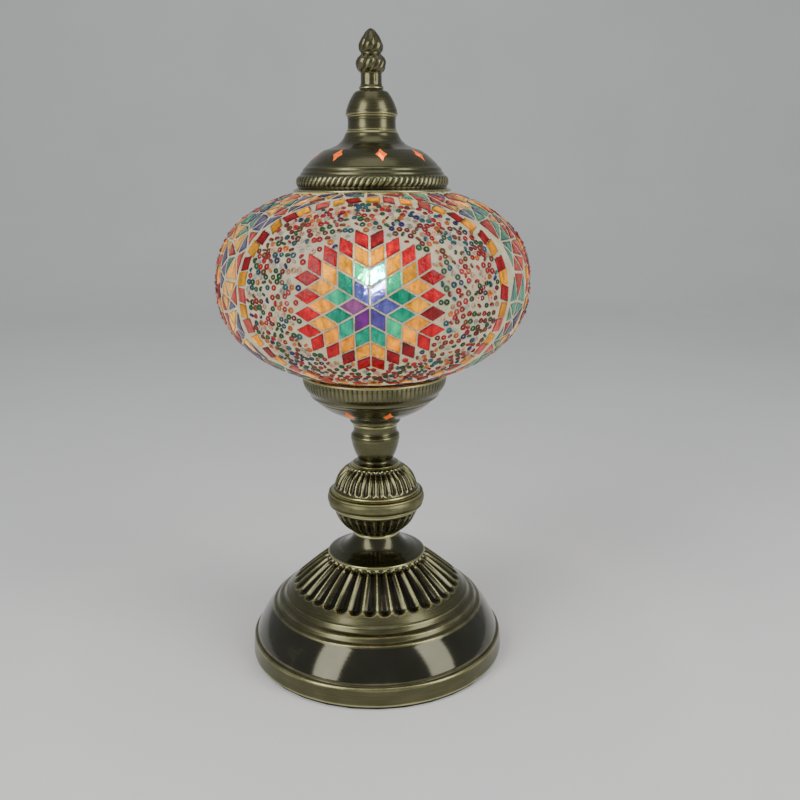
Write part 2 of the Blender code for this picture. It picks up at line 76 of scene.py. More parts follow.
# ---- the mosaic's design ----
MEDALLIONS = 3
STAR_EDGE = 10.7            # edge of a rhombic tile, from gap to gap
STAR_DROP = -2.0            # star's centre below the equator
STAR_SHIFT = -2.2           # and to the left of the front
TILE_GAP = 0.55             # half the bed's width between two tiles
BORDER_SPREAD = 0.862       # angle from a medallion's centre to its border, in radians
BORDER_TILES = 44
BORDER_LENGTH = 10.2
BORDER_WIDTH = 8.2
BEAD_SPACING = 4.2
BEAD_RADIUS = 1.24          # centre line of a bead's ring
BEAD_THICK = 0.80           # radius of its section
BEAD_STEPS = 10             # facets round a bead, and round its section
BEAD_SIDES = 6
BEAD_MARGIN = 0.058         # between beads and the middle of the border, in radians
BEAD_TRIES = 5000           # extra places tried in the gaps
SHARD_SPACING = 12.0
SHARD_MARGIN = 0.052        # between shards and the middle of the border, in radians
SHARD_AREA = 9.0            # smallest, in square millimetres
SHARD_TRIES = 5200
TILE_BACK = 2.15            # depths under the mosaic's face
TILE_FACE = 0.30
TILE_WAVE = 0.30            # how far the face rolls
TILE_RIPPLE = 0.38          # how fast it does, per millimetre
TILE_BEVEL = 0.30           # width of the worn edge
WINDOW_MARGIN = 0.35        # between a tile's edge and the clear bed behind it

# ---- turned pieces ----
FLUTE_DEPTH = 2.2           # of the foot's flutes
FLUTE_FILL = 0.97           # share of the pitch that a flute takes
FINE_STEP = 0.12            # spacing of an outline's points while it is softened
WEAR_PASSES = 7
AXIS_REACH = 0.02           # points this close to the axis are merged
AXIS_MERGE = 0.05
HOLES = 8                   # star holes in the cup, and in the cap
HOLE_LENGTH = 6.3           # half a hole's length, along the slope
HOLE_WIDTH = 3.7
HOLE_WAIST = 0.42           # how far its sides come in
HOLE_REACH = 6.0            # how far its cutter reaches either side of the wall
FINIAL_RISE = 36.8          # over its lower shoulder

# ---- lights and camera ----
LIGHTS_AIM = 0.22           # height that the softboxes look at, in metres
CAMERA_LENS = 40.23
CAMERA_PLACE = (0.0, -0.608, 0.3393)
CAMERA_DIP = 14.12          # degrees
CAMERA_ROLL = 0.24
CAMERA_PAN = -1.72

# ---- colours, linear ----
RED = (0.42, 0.001, 0.008)
CRIMSON = (0.21, 0.002, 0.008)
AMBER = (0.76, 0.32, 0.001)
GOLD = (0.55, 0.26, 0.001)
TEAL = (0.002, 0.27, 0.21)
MINT = (0.012, 0.48, 0.33)
TURQUOISE = (0.002, 0.45, 0.56)
LAVENDER = (0.08, 0.10, 0.50)
INDIGO = (0.06, 0.05, 0.34)
PURPLE = (0.13, 0.012, 0.27)
VIOLET = (0.20, 0.065, 0.30)
SLATE = (0.10, 0.10, 0.23)
DUSTY_RED = (0.36, 0.062, 0.070)
SEA = (0.080, 0.25, 0.24)
GREEN = (0.004, 0.08, 0.018)
NAVY = (0.008, 0.008, 0.12)
PEACH = (0.72, 0.40, 0.24)
CLEAR = (0.50, 0.46, 0.38)
BROWN = (0.17, 0.045, 0.008)
ORANGE = (0.70, 0.15, 0.008)
PETROL = (0.006, 0.10, 0.14)
HONEY = (0.74, 0.42, 0.12)
STAR_COLOURS = [
    [LAVENDER, LAVENDER, INDIGO, PURPLE, VIOLET, LAVENDER],
    [TURQUOISE, MINT, TEAL, TEAL, MINT, TEAL, TEAL, TEAL, TEAL, MINT, TEAL, MINT],
    [AMBER],
    [RED, RED, CRIMSON],
]
BEAD_COLOURS = [RED] * 7 + [CRIMSON] * 3 + [GREEN] * 5 + [PEACH] * 3 + [CLEAR] * 3
BEAD_COLOURS += [ORANGE] * 3 + [PETROL] * 4 + [NAVY] * 2 + [BROWN] * 4
SHARD_COLOURS = [SEA, SEA, SLATE, SLATE, DUSTY_RED, DUSTY_RED, DUSTY_RED, HONEY, HONEY]


# ---- outlines ----
def bow(start, end, height, steps=8):
    """Points after start, up to end, on a shallow arc that stands height off the chord's right side."""
    along = (end[0] - start[0], end[1] - start[1])
    length = math.hypot(*along)
    side = (along[1] / length, -along[0] / length)
    points = []
    for step in range(1, steps + 1):
        t = step / steps
        lift = 4.0 * height * t * (1.0 - t)
        points.append((start[0] + along[0] * t + side[0] * lift, start[1] + along[1] * t + side[1] * lift))
    return points


def outline(start, *moves):
    """A line of points: each move is a point, or a point and the height of the arc that leads to it."""
    points = [start]
    for move in moves:
        if len(move) == 3:
            points += bow(points[-1], move[:2], move[2])
        else:
            points.append(move)
    return points


def resample(points, step):
    points = np.array(points, float)
    lengths = np.hypot(*np.diff(points, axis=0).T)
    along = np.concatenate([[0.0], np.cumsum(lengths)])
    count = max(2, int(round(along[-1] / step)) + 1)
    wanted = np.linspace(0.0, along[-1], count)
    return np.column_stack([np.interp(wanted, along, points[:, i]) for i in (0, 1)])


def soften(points, reach):
    """Round a line's corners by averaging over reach; its two ends stay."""
    line = resample(points, FINE_STEP)
    half = max(1, int(reach / FINE_STEP))
    weights = np.hanning(2 * half + 3)[1:-1]
    weights /= weights.sum()
    padded = np.vstack([2 * line[0] - line[half:0:-1], line, 2 * line[-1] - line[-2:-half - 2:-1]])
    return np.column_stack([np.convolve(padded[:, i], weights, mode="valid") for i in (0, 1)])


def foot_of(node):
    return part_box(node)[0].z / MM


# ---- relief on turned pieces: how far the wall moves out, in mm ----
def flutes(count, low, high, depth, first=0.0):
    """Hollow flutes with rounded ends between two heights."""
    def push(radius, height, along, angle):
        pitch = math.tau / count
        across = ((angle - first) / pitch) % 1.0 - 0.5
        start = np.interp(low, height[:, 0], along[:, 0])
        finish = np.interp(high, height[:, 0], along[:, 0])
        half = radius * pitch * FLUTE_FILL / 2.0
        end = np.clip(1.0 - np.minimum(along - start, finish - along) / half, 0.0, 2.0)
        inside = np.clip(1.0 - (across * 2.0 / FLUTE_FILL) ** 2 - end ** 2, 0.0, 1.0)
        return -depth * inside
    return push


def gadroons(count, low, high, depth, lean=0.0, power=0.6):
    """Raised lobes side by side between two heights, fading out at both ends."""
    def push(radius, height, along, angle):
        turn = (angle - lean * (height - low)) * count / 2.0
        middle = np.clip((height - low) * (high - height) * 4.0 / (high - low) ** 2, 0.0, 1.0)
        return depth * (np.abs(np.cos(turn)) ** power - 0.75) * middle ** 0.35
    return push


def notched(count, low, high, depth):
    """Narrow upright lobes parted by notches that are deepest at the top and fade out below."""
    def push(radius, height, along, angle):
        lobe = np.abs(np.cos(angle * count / 2.0)) ** 0.55 - 0.72
        rise = np.clip((height - low) / (high - low), 0.0, 1.0)
        end = np.clip((high - height) / 0.9, 0.0, 1.0)
        return depth * lobe * rise ** 0.7 * end
    return push


def veined(count, low, high, depth, lean):
    """Leaves: lobes whose edges curve, with a fine midrib on each."""
    def push(radius, height, along, angle):
        rise = np.clip((height - low) / (high - low), 0.0, 1.0)
        turn = (angle - lean * np.sin(rise * math.pi * 0.5)) * count
        lobe = np.abs(np.cos(turn / 2.0)) ** 0.7
        rib = 0.16 * np.exp(-(np.sin(turn / 2.0) / 0.22) ** 2)
        middle = np.clip(rise * (1.0 - rise) * 4.0, 0.0, 1.0) ** 0.45
        return depth * (lobe + rib - 0.75) * middle
    return push


def dents(amount, scale):
    """Slow, shallow unevenness, such as a hand-laid bed has."""
    def push(radius, height, along, angle):
        out = np.zeros(np.broadcast(radius, angle).shape)
        for row, column in np.ndindex(out.shape):
            place = polar(angle[0, column], radius[row, 0], height[row, 0])
            out[row, column] = noise.noise(place * scale)
        return out * amount
    return push


# ---- mesh tools ----
def polar(turn, reach=1.0, height=0.0):
    """The point at an azimuth, reach away from the axis."""
    return Vector((reach * math.cos(turn), reach * math.sin(turn), height))


def read(items, key, width=1, kind=float):
    """One property of all of a mesh's points, edges or faces, with width values to a row."""
    values = np.empty(len(items) * width, kind)
    items.foreach_get(key, values)
    return values.reshape(-1, width) if width > 1 else values


def store(mesh, name, values):
    """Keep a value for each point, which a material can read."""
    mesh.attributes.new(name, "FLOAT", "POINT").data.foreach_set("value", values)


def put(name, data):
    """A new object in the scene."""
    item = bpy.data.objects.new(name, data)
    bpy.context.scene.collection.objects.link(item)
    return item


def link(name, mesh, body, materials, nodes):
    """Make a mesh a piece: it rides on its body, takes its slot, and stands for its CAD nodes."""
    piece = put(name, mesh)
    finish = read(mesh.polygons, "material_index", kind=int)
    mesh.materials.clear()
    for material in materials:
        mesh.materials.append(material)
    mesh.polygons.foreach_set("material_index", np.minimum(finish, len(materials) - 1))
    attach(piece, body)
    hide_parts(*nodes)


def mark_wear_highlight_and_shade(mesh, full):
    """Store how far each point stands out of its smoothed surface as a 0 to 1 value, which the brass paints as
    patina with painted shade in the hollows and as rubbed wear with a painted highlight on the ridges.
    """
    count = len(mesh.vertices)
    co = read(mesh.vertices, "co", 3) / MM
    normals = read(mesh.vertices, "normal", 3)
    edges = read(mesh.edges, "vertices", 2, int)
    ends = np.concatenate([edges[:, 0], edges[:, 1]])
    others = np.concatenate([edges[:, 1], edges[:, 0]])
    degree = np.maximum(np.bincount(ends, minlength=count), 1)
    smooth = co.copy()
    for _ in range(WEAR_PASSES):
        sums = [np.bincount(ends, weights=smooth[others, i], minlength=count) for i in range(3)]
        smooth = 0.5 * smooth + 0.5 * np.column_stack(sums) / degree[:, None]
    proud = np.einsum("ij,ij->i", co - smooth, normals)
    store(mesh, "wear_highlight_and_shade", np.clip(0.5 + proud / full, 0.0, 1.0))


def turned(name, outside, inside, around, reliefs=(), step=0.6, rounding=0.4, level=0.0):
    """A closed solid of revolution: the outside runs upwards with reliefs on it, the inside back down."""
    line = resample(soften(outside, rounding), step)
    back = resample(inside, step * 4.0)
    tangent = np.gradient(line, axis=0)
    tangent /= np.hypot(*tangent.T)[:, None]
    along = np.concatenate([[0.0], np.cumsum(np.hypot(*np.diff(line, axis=0).T))])[:, None]
    angle = (np.arange(around) * math.tau / around)[None, :]
    push = np.zeros((len(line), around))
    for relief in reliefs:
        push = push + relief(line[:, :1], line[:, 1:], along, angle)
    radius = np.maximum(line[:, :1] + tangent[:, 1:] * push, 0.0)
    height = line[:, 1:] - tangent[:, :1] * push
    radius = np.vstack([radius, np.repeat(back[:, :1], around, axis=1)])
    height = np.vstack([height, np.repeat(back[:, 1:], around, axis=1)]) + level
    turn = np.repeat(angle, len(radius), axis=0)
    verts = np.stack([radius * np.cos(turn), radius * np.sin(turn), height], axis=-1).reshape(-1, 3) * MM
    rows = np.arange(len(radius))
    start = rows[:, None] * around + np.arange(around)[None, :]
    after = np.roll(start, -1, axis=1)
    above = np.roll(start, -1, axis=0)
    above_after = np.roll(after, -1, axis=0)
    faces = np.stack([start, after, above_after, above], axis=-1).reshape(-1, 4)
    mesh = bpy.data.meshes.new(name)
    mesh.from_pydata(verts.tolist(), [], faces.tolist())
    inner = np.zeros(len(rows), int)
    inner[len(line):-1] = 1
    mesh.polygons.foreach_set("material_index", np.repeat(inner, around))
    # How deep each point lies in a flute, kept for the brass to darken the flute floors with painted shade.
    recess_shade = np.zeros(radius.shape)
    recess_shade[:len(line)] = np.clip(-push / FLUTE_DEPTH, 0.0, 1.0)
    store(mesh, "recess_shade", recess_shade.ravel())
    mesh.shade_smooth()
    if radius.min() == 0.0:
        close_axis(mesh)
    return mesh


def close_axis(mesh):
    """Merge the points that lie on the axis."""
    bm = bmesh.new()
    bm.from_mesh(mesh)
    on_axis = [v for v in bm.verts if v.co.xy.length < AXIS_REACH * MM]
    bmesh.ops.remove_doubles(bm, verts=on_axis, dist=AXIS_MERGE * MM)
    bm.to_mesh(mesh)
    bm.free()


def pierce(mesh, cutters):
    """Cut the star holes through a wall; the holes' sides take the inside's copper finish with its painted glow.
    """
    for item in (mesh, cutters):
        for material in (brass, painted_glow_inside):
            item.materials.append(material)
    cutters.polygons.foreach_set("material_index", [1] * len(cutters.polygons))
    body = put("pierced", mesh)
    tool = put("stars", cutters)
    cut = body.modifiers.new("stars", "BOOLEAN")
    cut.operation = "DIFFERENCE"
    cut.solver = "EXACT"
    cut.object = tool
    bpy.context.view_layer.update()
    result = bpy.data.meshes.new_from_object(body.evaluated_get(bpy.context.evaluated_depsgraph_get()))
    for item in (body, tool):
        bpy.data.objects.remove(item)
    return result


def star_prisms(radius, height, slope, first):
    """Star-shaped prisms around the axis, each square to a wall that leans by slope."""
    bm = bmesh.new()
    for index in range(HOLES):
        outward = polar(first + math.tau * index / HOLES)
        across = Vector((-outward.y, outward.x, 0.0))
        along = outward * math.cos(slope) + Vector((0.0, 0.0, math.sin(slope)))
        normal = along.cross(across)
        centre = outward * radius + Vector((0.0, 0.0, height))
        ends = []
        for side in (-HOLE_REACH, HOLE_REACH):
            end = []
            for corner in range(8):
                turn = math.tau * corner / 8.0
                reach = 1.0 if corner % 2 == 0 else 1.0 - HOLE_WAIST
                shift = along * HOLE_LENGTH * math.cos(turn) + across * HOLE_WIDTH * math.sin(turn)
                end.append(bm.verts.new((centre + shift * reach + normal * side) * MM))
            ends.append(end)
        bm.faces.new(ends[0])
        bm.faces.new(ends[1][::-1])
        for corner in range(8):
            after = (corner + 1) % 8
            bm.faces.new((ends[0][after], ends[0][corner], ends[1][corner], ends[1][after]))
    bmesh.ops.recalc_face_normals(bm, faces=bm.faces[:])
    mesh = bpy.data.meshes.new("star_prisms")
    bm.to_mesh(mesh)
    bm.free()
    return mesh


# ---- the globe's surface ----
class Globe:
    """Heights and radii of the globe along its meridian, by arc length from the equator."""

    def __init__(self):
        self.lines = {}
        for side in (1, -1):
            turn = np.linspace(0.0, math.pi / 2.0, 400)
            radius = GLOBE_RADIUS * np.cos(turn) ** (2.0 / GLOBE_POWER[side])
            height = side * GLOBE_RISE[side] * np.sin(turn) ** (2.0 / GLOBE_POWER[side])
            arc = np.concatenate([[0.0], np.cumsum(np.hypot(np.diff(radius), np.diff(height)))])
            self.lines[side] = (arc, radius, height)
        self.scale = 0.5 * sum(line[0][-1] for line in self.lines.values()) / (math.pi / 2.0)

    def profile(self, latitude):
        side = 1 if latitude >= 0.0 else -1
        arc, radius, height = self.lines[side]
        place = abs(latitude) / (math.pi / 2.0) * arc[-1]
        return float(np.interp(place, arc, radius)), float(np.interp(place, arc, height)) + GLOBE_CENTRE

    def latitude_at(self, height):
        found = []
        for side in (1, -1):
            arc, _, heights = self.lines[side]
            place = np.interp(np.abs(height - GLOBE_CENTRE), np.abs(heights), arc)
            found.append(side * place / arc[-1] * math.pi / 2.0)
        return np.where(height >= GLOBE_CENTRE, *found)

    def point(self, azimuth, latitude, depth=0.0):
        """Place and outward normal, depth mm under the mosaic's face."""
        radius, height = self.profile(latitude)
        ahead, above = self.profile(latitude + 0.004)
        rise = Vector((ahead - radius, above - height)).normalized()
        normal = polar(azimuth, rise.y, -rise.x)
        return polar(azimuth, radius, height) - normal * depth, normal

    def laid(self, centre, x, y):
        """Azimuth and latitude of a point x mm right of and y mm above a medallion's centre."""
        across, up = x / GLOBE_RADIUS, y / self.scale
        reach = math.hypot(across, up)
        if reach < 1e-9:
            return centre, 0.0
        right = math.sin(reach) * across / reach
        rise = math.sin(reach) * up / reach
        return centre + math.atan2(right, math.cos(reach)), math.asin(rise)

    def flatten(self, centre, azimuth, latitude):
        """The reverse of laid, in radians across and up."""
        turn = (azimuth - centre + math.pi) % math.tau - math.pi
        forward = np.cos(latitude) * np.cos(turn)
        right = np.cos(latitude) * np.sin(turn)
        rise = np.sin(latitude)
        reach = np.arccos(np.clip(forward, -1.0, 1.0))
        side = np.maximum(np.hypot(right, rise), 1e-9)
        return reach * right / side, reach * rise / side


globe = Globe()


# ---- tiles and beads ----
class Batch:
    """Collects many small closed bodies with a colour each, and makes one mesh of them."""

    def __init__(self):
        self.verts = []
        self.faces = []
        self.colours = []
        self.hidden = []
        self.outlines = []

    def add(self, verts, faces, colour, hidden=()):
        base = len(self.verts)
        self.verts += verts
        self.faces += [tuple(base + i for i in face) for face in faces]
        self.colours += [colour] * len(verts)
        self.hidden += [index in hidden for index in range(len(faces))]

    def mesh(self, name):
        mesh = bpy.data.meshes.new(name)
        mesh.from_pydata([tuple(v * MM) for v in self.verts], [], self.faces)
        tint = mesh.color_attributes.new("tint", "FLOAT_COLOR", "POINT")
        tint.data.foreach_set("color", [value for colour in self.colours for value in (*colour, 1.0)])
        mesh.polygons.foreach_set("material_index", [int(flag) for flag in self.hidden])
        mesh.shade_smooth()
        mesh.set_sharp_from_angle(angle=math.radians(38))
        return mesh


def shade(colour, rng, amount=0.22):
    """A colour a little lighter or darker, as sheets of glass differ."""
    value = math.exp(rng.uniform(-amount, amount))
    return tuple(min(0.95, part * value * math.exp(rng.uniform(-0.06, 0.06))) for part in colour)


def sides(polygon):
    """The sides of a polygon, each by its two ends."""
    return zip(polygon, polygon[1:] + polygon[:1])


def middle_of(polygon):
    return [sum(point[i] for point in polygon) / len(polygon) for i in (0, 1)]


def shrink(polygon, amount):
    """A convex polygon with each side moved in."""
    centre = middle_of(polygon)
    lines = []
    for point, after in sides(polygon):
        side = (after[0] - point[0], after[1] - point[1])
        length = math.hypot(*side) or 1.0
        normal = (-side[1] / length, side[0] / length)
        inward = normal[0] * (centre[0] - point[0]) + normal[1] * (centre[1] - point[1])
        if inward < 0.0:
            normal = (-normal[0], -normal[1])
        lines.append((normal, normal[0] * point[0] + normal[1] * point[1] + amount))
    corners = []
    for index, (normal, offset) in enumerate(lines):
        before, reach = lines[index - 1]
        cross = before[0] * normal[1] - before[1] * normal[0]
        if abs(cross) < 1e-6:
            return None
        corners.append(((reach * normal[1] - offset * before[1]) / cross,
                        (offset * before[0] - reach * normal[0]) / cross))
    return corners


def area_of(polygon):
    return sum(point[0] * after[1] - point[1] * after[0] for point, after in sides(polygon)) / 2.0


def slab(batch, centre, polygon, colour, rng, parts=4, rings=4):
    """One piece of rolled glass: a wavy face, a worn edge, straight sides and a flat back in the bed."""
    if area_of(polygon) < 0.0:
        polygon = polygon[::-1]
    batch.outlines.append((centre, polygon))
    middle = middle_of(polygon)
    rim = []
    for point, after in sides(polygon):
        for part in range(parts):
            t = part / parts
            rim.append((point[0] + (after[0] - point[0]) * t, point[1] + (after[1] - point[1]) * t))
    lift = rng.uniform(-0.12, 0.18)
    tilt = (rng.uniform(-0.02, 0.02), rng.uniform(-0.02, 0.02))
    phase = Vector((rng.uniform(0, 90), rng.uniform(0, 90), 0.0))
    reach = max(min(math.hypot(p[0] - middle[0], p[1] - middle[1]) for p in rim), 1.0)

    def place(share, depth, wave=0.0):
        ring = []
        for x, y in rim:
            px = middle[0] + (x - middle[0]) * share
            py = middle[1] + (y - middle[1]) * share
            lean = tilt[0] * (px - middle[0]) + tilt[1] * (py - middle[1])
            ripple = wave * noise.noise(Vector((px * TILE_RIPPLE, py * TILE_RIPPLE, 0.0)) + phase)
            depth_here = max(depth - lift - lean - ripple, 0.02)
            ring.append(globe.point(*globe.laid(centre, px, py), depth_here)[0])
        return ring

    edge = 1.0 - TILE_BEVEL / reach
    levels = [place(1.0, TILE_BACK), place(1.0, 0.62), place(1.0 - 0.10 / reach, 0.42), place(edge, 0.34)]
    for ring in range(1, rings):
        levels.append(place(edge * (1.0 - ring / rings), TILE_FACE, TILE_WAVE))
    verts = [v for level in levels for v in level]
    count = len(rim)
    faces = [tuple(range(count))[::-1]]
    for row in range(len(levels) - 1):
        for index in range(count):
            after = (index + 1) % count
            low = row * count
            faces.append((low + index, low + after, low + count + after, low + count + index))
    top = (len(levels) - 1) * count
    verts.append(globe.point(*globe.laid(centre, *middle), TILE_FACE)[0])
    faces += [(top + index, top + (index + 1) % count, len(verts) - 1) for index in range(count)]
    batch.add(verts, faces, shade(colour, rng), hidden={0})


def open_windows(mesh, outlines):
    """Mark the bed's points behind the tiles, where no compound lies between glass and glass."""
    co = read(mesh.vertices, "co", 3) / MM
    azimuth = np.arctan2(co[:, 1], co[:, 0])
    latitude = globe.latitude_at(co[:, 2])
    window = np.zeros(len(co))
    for centre in sorted({outline[0] for outline in outlines}):
        across, up = globe.flatten(centre, azimuth, latitude)
        x = across * GLOBE_RADIUS
        y = up * globe.scale
        for place, polygon in outlines:
            if place != centre:
                continue
            corners = np.array(polygon)
            low = corners.min(axis=0)
            high = corners.max(axis=0)
            near = np.nonzero((x > low[0]) & (x < high[0]) & (y > low[1]) & (y < high[1]))[0]
            inside = np.ones(len(near), bool)
            for start, end in zip(corners, np.roll(corners, -1, axis=0)):
                side = (end - start) / math.dist(start, end)
                away = side[0] * (y[near] - start[1]) - side[1] * (x[near] - start[0])
                inside &= away > WINDOW_MARGIN
            window[near[inside]] = 1.0
    store(mesh, "window", window)


def sector_edges(sector):
    """The two edges that a sector's rhombi share, from the star's centre."""
    turns = [math.radians(90.0 - 60.0 * sector), math.radians(30.0 - 60.0 * sector)]
    return [(math.cos(turn) * STAR_EDGE, math.sin(turn) * STAR_EDGE) for turn in turns]


def star_tiles(batch, centre, rng):
    """Rhombi in six sectors round the star's centre, ring by ring."""
    for sector in range(6):
        first, second = sector_edges(sector)
        for ring, palette in enumerate(STAR_COLOURS):
            for step in range(ring + 1):
                i = ring - step
                corners = []
                for a, b in ((i, step), (i + 1, step), (i + 1, step + 1), (i, step + 1)):
                    corners.append((first[0] * a + second[0] * b + STAR_SHIFT,
                                    first[1] * a + second[1] * b + STAR_DROP))
                colour = palette[(sector * (ring + 1) + step) % len(palette)]
                if ring == len(STAR_COLOURS) - 1:
                    colour = rng.choice(palette)
                slab(batch, centre, shrink(corners, TILE_GAP), colour, rng)


def in_star(x, y, margin):
    """True if a point margin away from this one lies on the star."""
    for turn in range(8):
        px = x - STAR_SHIFT + margin * math.cos(turn * math.tau / 8.0)
        py = y - STAR_DROP + margin * math.sin(turn * math.tau / 8.0)
        sector = math.floor((math.pi / 2.0 - math.atan2(py, px)) / (math.pi / 3.0)) % 6
        (ax, ay), (bx, by) = sector_edges(sector)
        cross = ax * by - ay * bx
        a = (px * by - py * bx) / cross
        b = (ax * py - ay * px) / cross
        if math.floor(max(a, 0.0)) + math.floor(max(b, 0.0)) < len(STAR_COLOURS):
            return True
    return False


def border_tiles(batch, centre, rng, low, high):
    """Red and amber quads in turn round a medallion."""
    for index in range(BORDER_TILES):
        turn = math.tau * (index + rng.uniform(-0.12, 0.12)) / BORDER_TILES
        x = BORDER_SPREAD * GLOBE_RADIUS * math.cos(turn)
        y = BORDER_SPREAD * globe.scale * math.sin(turn)
        _, latitude = globe.laid(centre, x, y)
        if not low < latitude < high:
            continue
        lean = math.atan2(y, x) + rng.uniform(-0.16, 0.16)
        out = (math.cos(lean), math.sin(lean))
        side = (-out[1], out[0])
        half_length = BORDER_LENGTH / 2.0 * rng.uniform(0.86, 1.06)
        half_width = BORDER_WIDTH / 2.0 * rng.uniform(0.84, 1.08)
        skew = rng.uniform(-1.6, 1.6)
        corners = []
        for a, b in ((-1, -1), (1, -1), (1, 1), (-1, 1)):
            along = half_length * b + skew * a
            corners.append((x + out[0] * half_width * a + side[0] * along,
                            y + out[1] * half_width * a + side[1] * along))
        colour = (CRIMSON, GOLD)[index % 2]
        if rng.random() < 0.35:
            colour = (DUSTY_RED, AMBER)[index % 2]
        slab(batch, centre, corners, colour, rng)


def shards(batch, centre, rng, low, high, medallions):
    """Triangles of broken glass between the medallions."""
    def clearance(azimuth, latitude):
        return min(math.hypot(*globe.flatten(m, azimuth, latitude)) for m in medallions) - BORDER_SPREAD

    points = []
    for _ in range(SHARD_TRIES):
        x = rng.uniform(-80.0, 80.0)
        y = rng.uniform(-105.0, 105.0)
        azimuth, latitude = globe.laid(centre, x, y)
        if not low < latitude < high or clearance(azimuth, latitude) < SHARD_MARGIN:
            continue
        if all(math.hypot(x - p[0], (y - p[1]) * 0.8) > SHARD_SPACING * 0.78 for p in points):
            points.append((x, y))
    flat = [Vector(p) for p in points]
    triangles = geometry.delaunay_2d_cdt(flat, [], [], 0, 1e-4)[2]
    for triangle in triangles:
        corners = [points[index] for index in triangle]
        longest = max(math.dist(corners[i], corners[i - 1]) for i in range(3))
        near = clearance(*globe.laid(centre, *middle_of(corners)))
        if longest > SHARD_SPACING * 2.3 or near < SHARD_MARGIN + 0.003:
            continue
        small = shrink(corners, rng.uniform(0.80, 1.05))
        if small is None or abs(area_of(small)) < SHARD_AREA or abs(area_of(small)) > abs(area_of(corners)):
            continue
        slab(batch, centre, small, rng.choice(SHARD_COLOURS), rng, parts=3, rings=3)


def bead_template():
    ring = []
    faces = []
    for i in range(BEAD_STEPS):
        turn = math.tau * i / BEAD_STEPS
        for j in range(BEAD_SIDES):
            tube = math.tau * j / BEAD_SIDES
            reach = BEAD_RADIUS + BEAD_THICK * math.cos(tube)
            ring.append((reach * math.cos(turn), reach * math.sin(turn), BEAD_THICK * 1.15 * math.sin(tube)))
            here = i * BEAD_SIDES
            after = (i + 1) % BEAD_STEPS * BEAD_SIDES
            above = (j + 1) % BEAD_SIDES
            faces.append((here + j, after + j, after + above, here + above))
    return np.array(ring), faces


def scatter_beads(batch, centre, rng):
    """Small glass rings pressed into the bed between the star and its border, most of them lying flat."""
    ring, faces = bead_template()
    limit = BORDER_SPREAD - BEAD_MARGIN
    columns = int(limit * GLOBE_RADIUS / BEAD_SPACING) + 3
    rows = int(limit * globe.scale / (BEAD_SPACING * 0.87)) + 3
    spots = []
    for j in range(-rows, rows + 1):
        for i in range(-columns, columns + 1):
            along = (i + 0.5 * (j % 2)) * BEAD_SPACING
            spot = Vector((along, j * BEAD_SPACING * 0.87, 7.0 * centre))
            spots.append(spot + noise.noise_vector(spot * 0.05) * 4.5)
    spots += [Vector((rng.uniform(-90.0, 90.0), rng.uniform(-80.0, 80.0), 0.0)) for _ in range(BEAD_TRIES)]
    placed = np.array([(1e6, 1e6)])
    for spot in spots:
        x = spot.x + rng.uniform(-0.55, 0.55)
        y = spot.y + rng.uniform(-0.55, 0.55)
        if math.hypot(x / GLOBE_RADIUS, y / globe.scale) > limit or in_star(x, y, 1.7):
            continue
        if np.hypot(*(placed - (x, y)).T).min() < BEAD_SPACING * 0.80:
            continue
        placed = np.vstack([placed, (x, y)])
        place, normal = globe.point(*globe.laid(centre, x, y), rng.uniform(0.62, 0.95))
        side = normal.cross(Vector((0.0, 0.0, 1.0))).normalized()
        up = normal.cross(side)
        lean = rng.uniform(0.0, 0.22) if rng.random() < 0.74 else rng.uniform(0.9, 1.5)
        turn = rng.uniform(0.0, math.tau)
        tipped = side * math.cos(turn) + up * math.sin(turn)
        axis = (normal * math.cos(lean) + tipped * math.sin(lean)).normalized()
        across = axis.cross(side if abs(axis.dot(side)) < 0.9 else up).normalized()
        turned_to = np.array([across, axis.cross(across), axis])
        size = rng.uniform(0.84, 1.06)
        points = ring * size @ turned_to + np.array(place - normal * (0.5 * math.sin(lean)))
        batch.add([Vector(point) for point in points], faces, shade(rng.choice(BEAD_COLOURS), rng, 0.3))


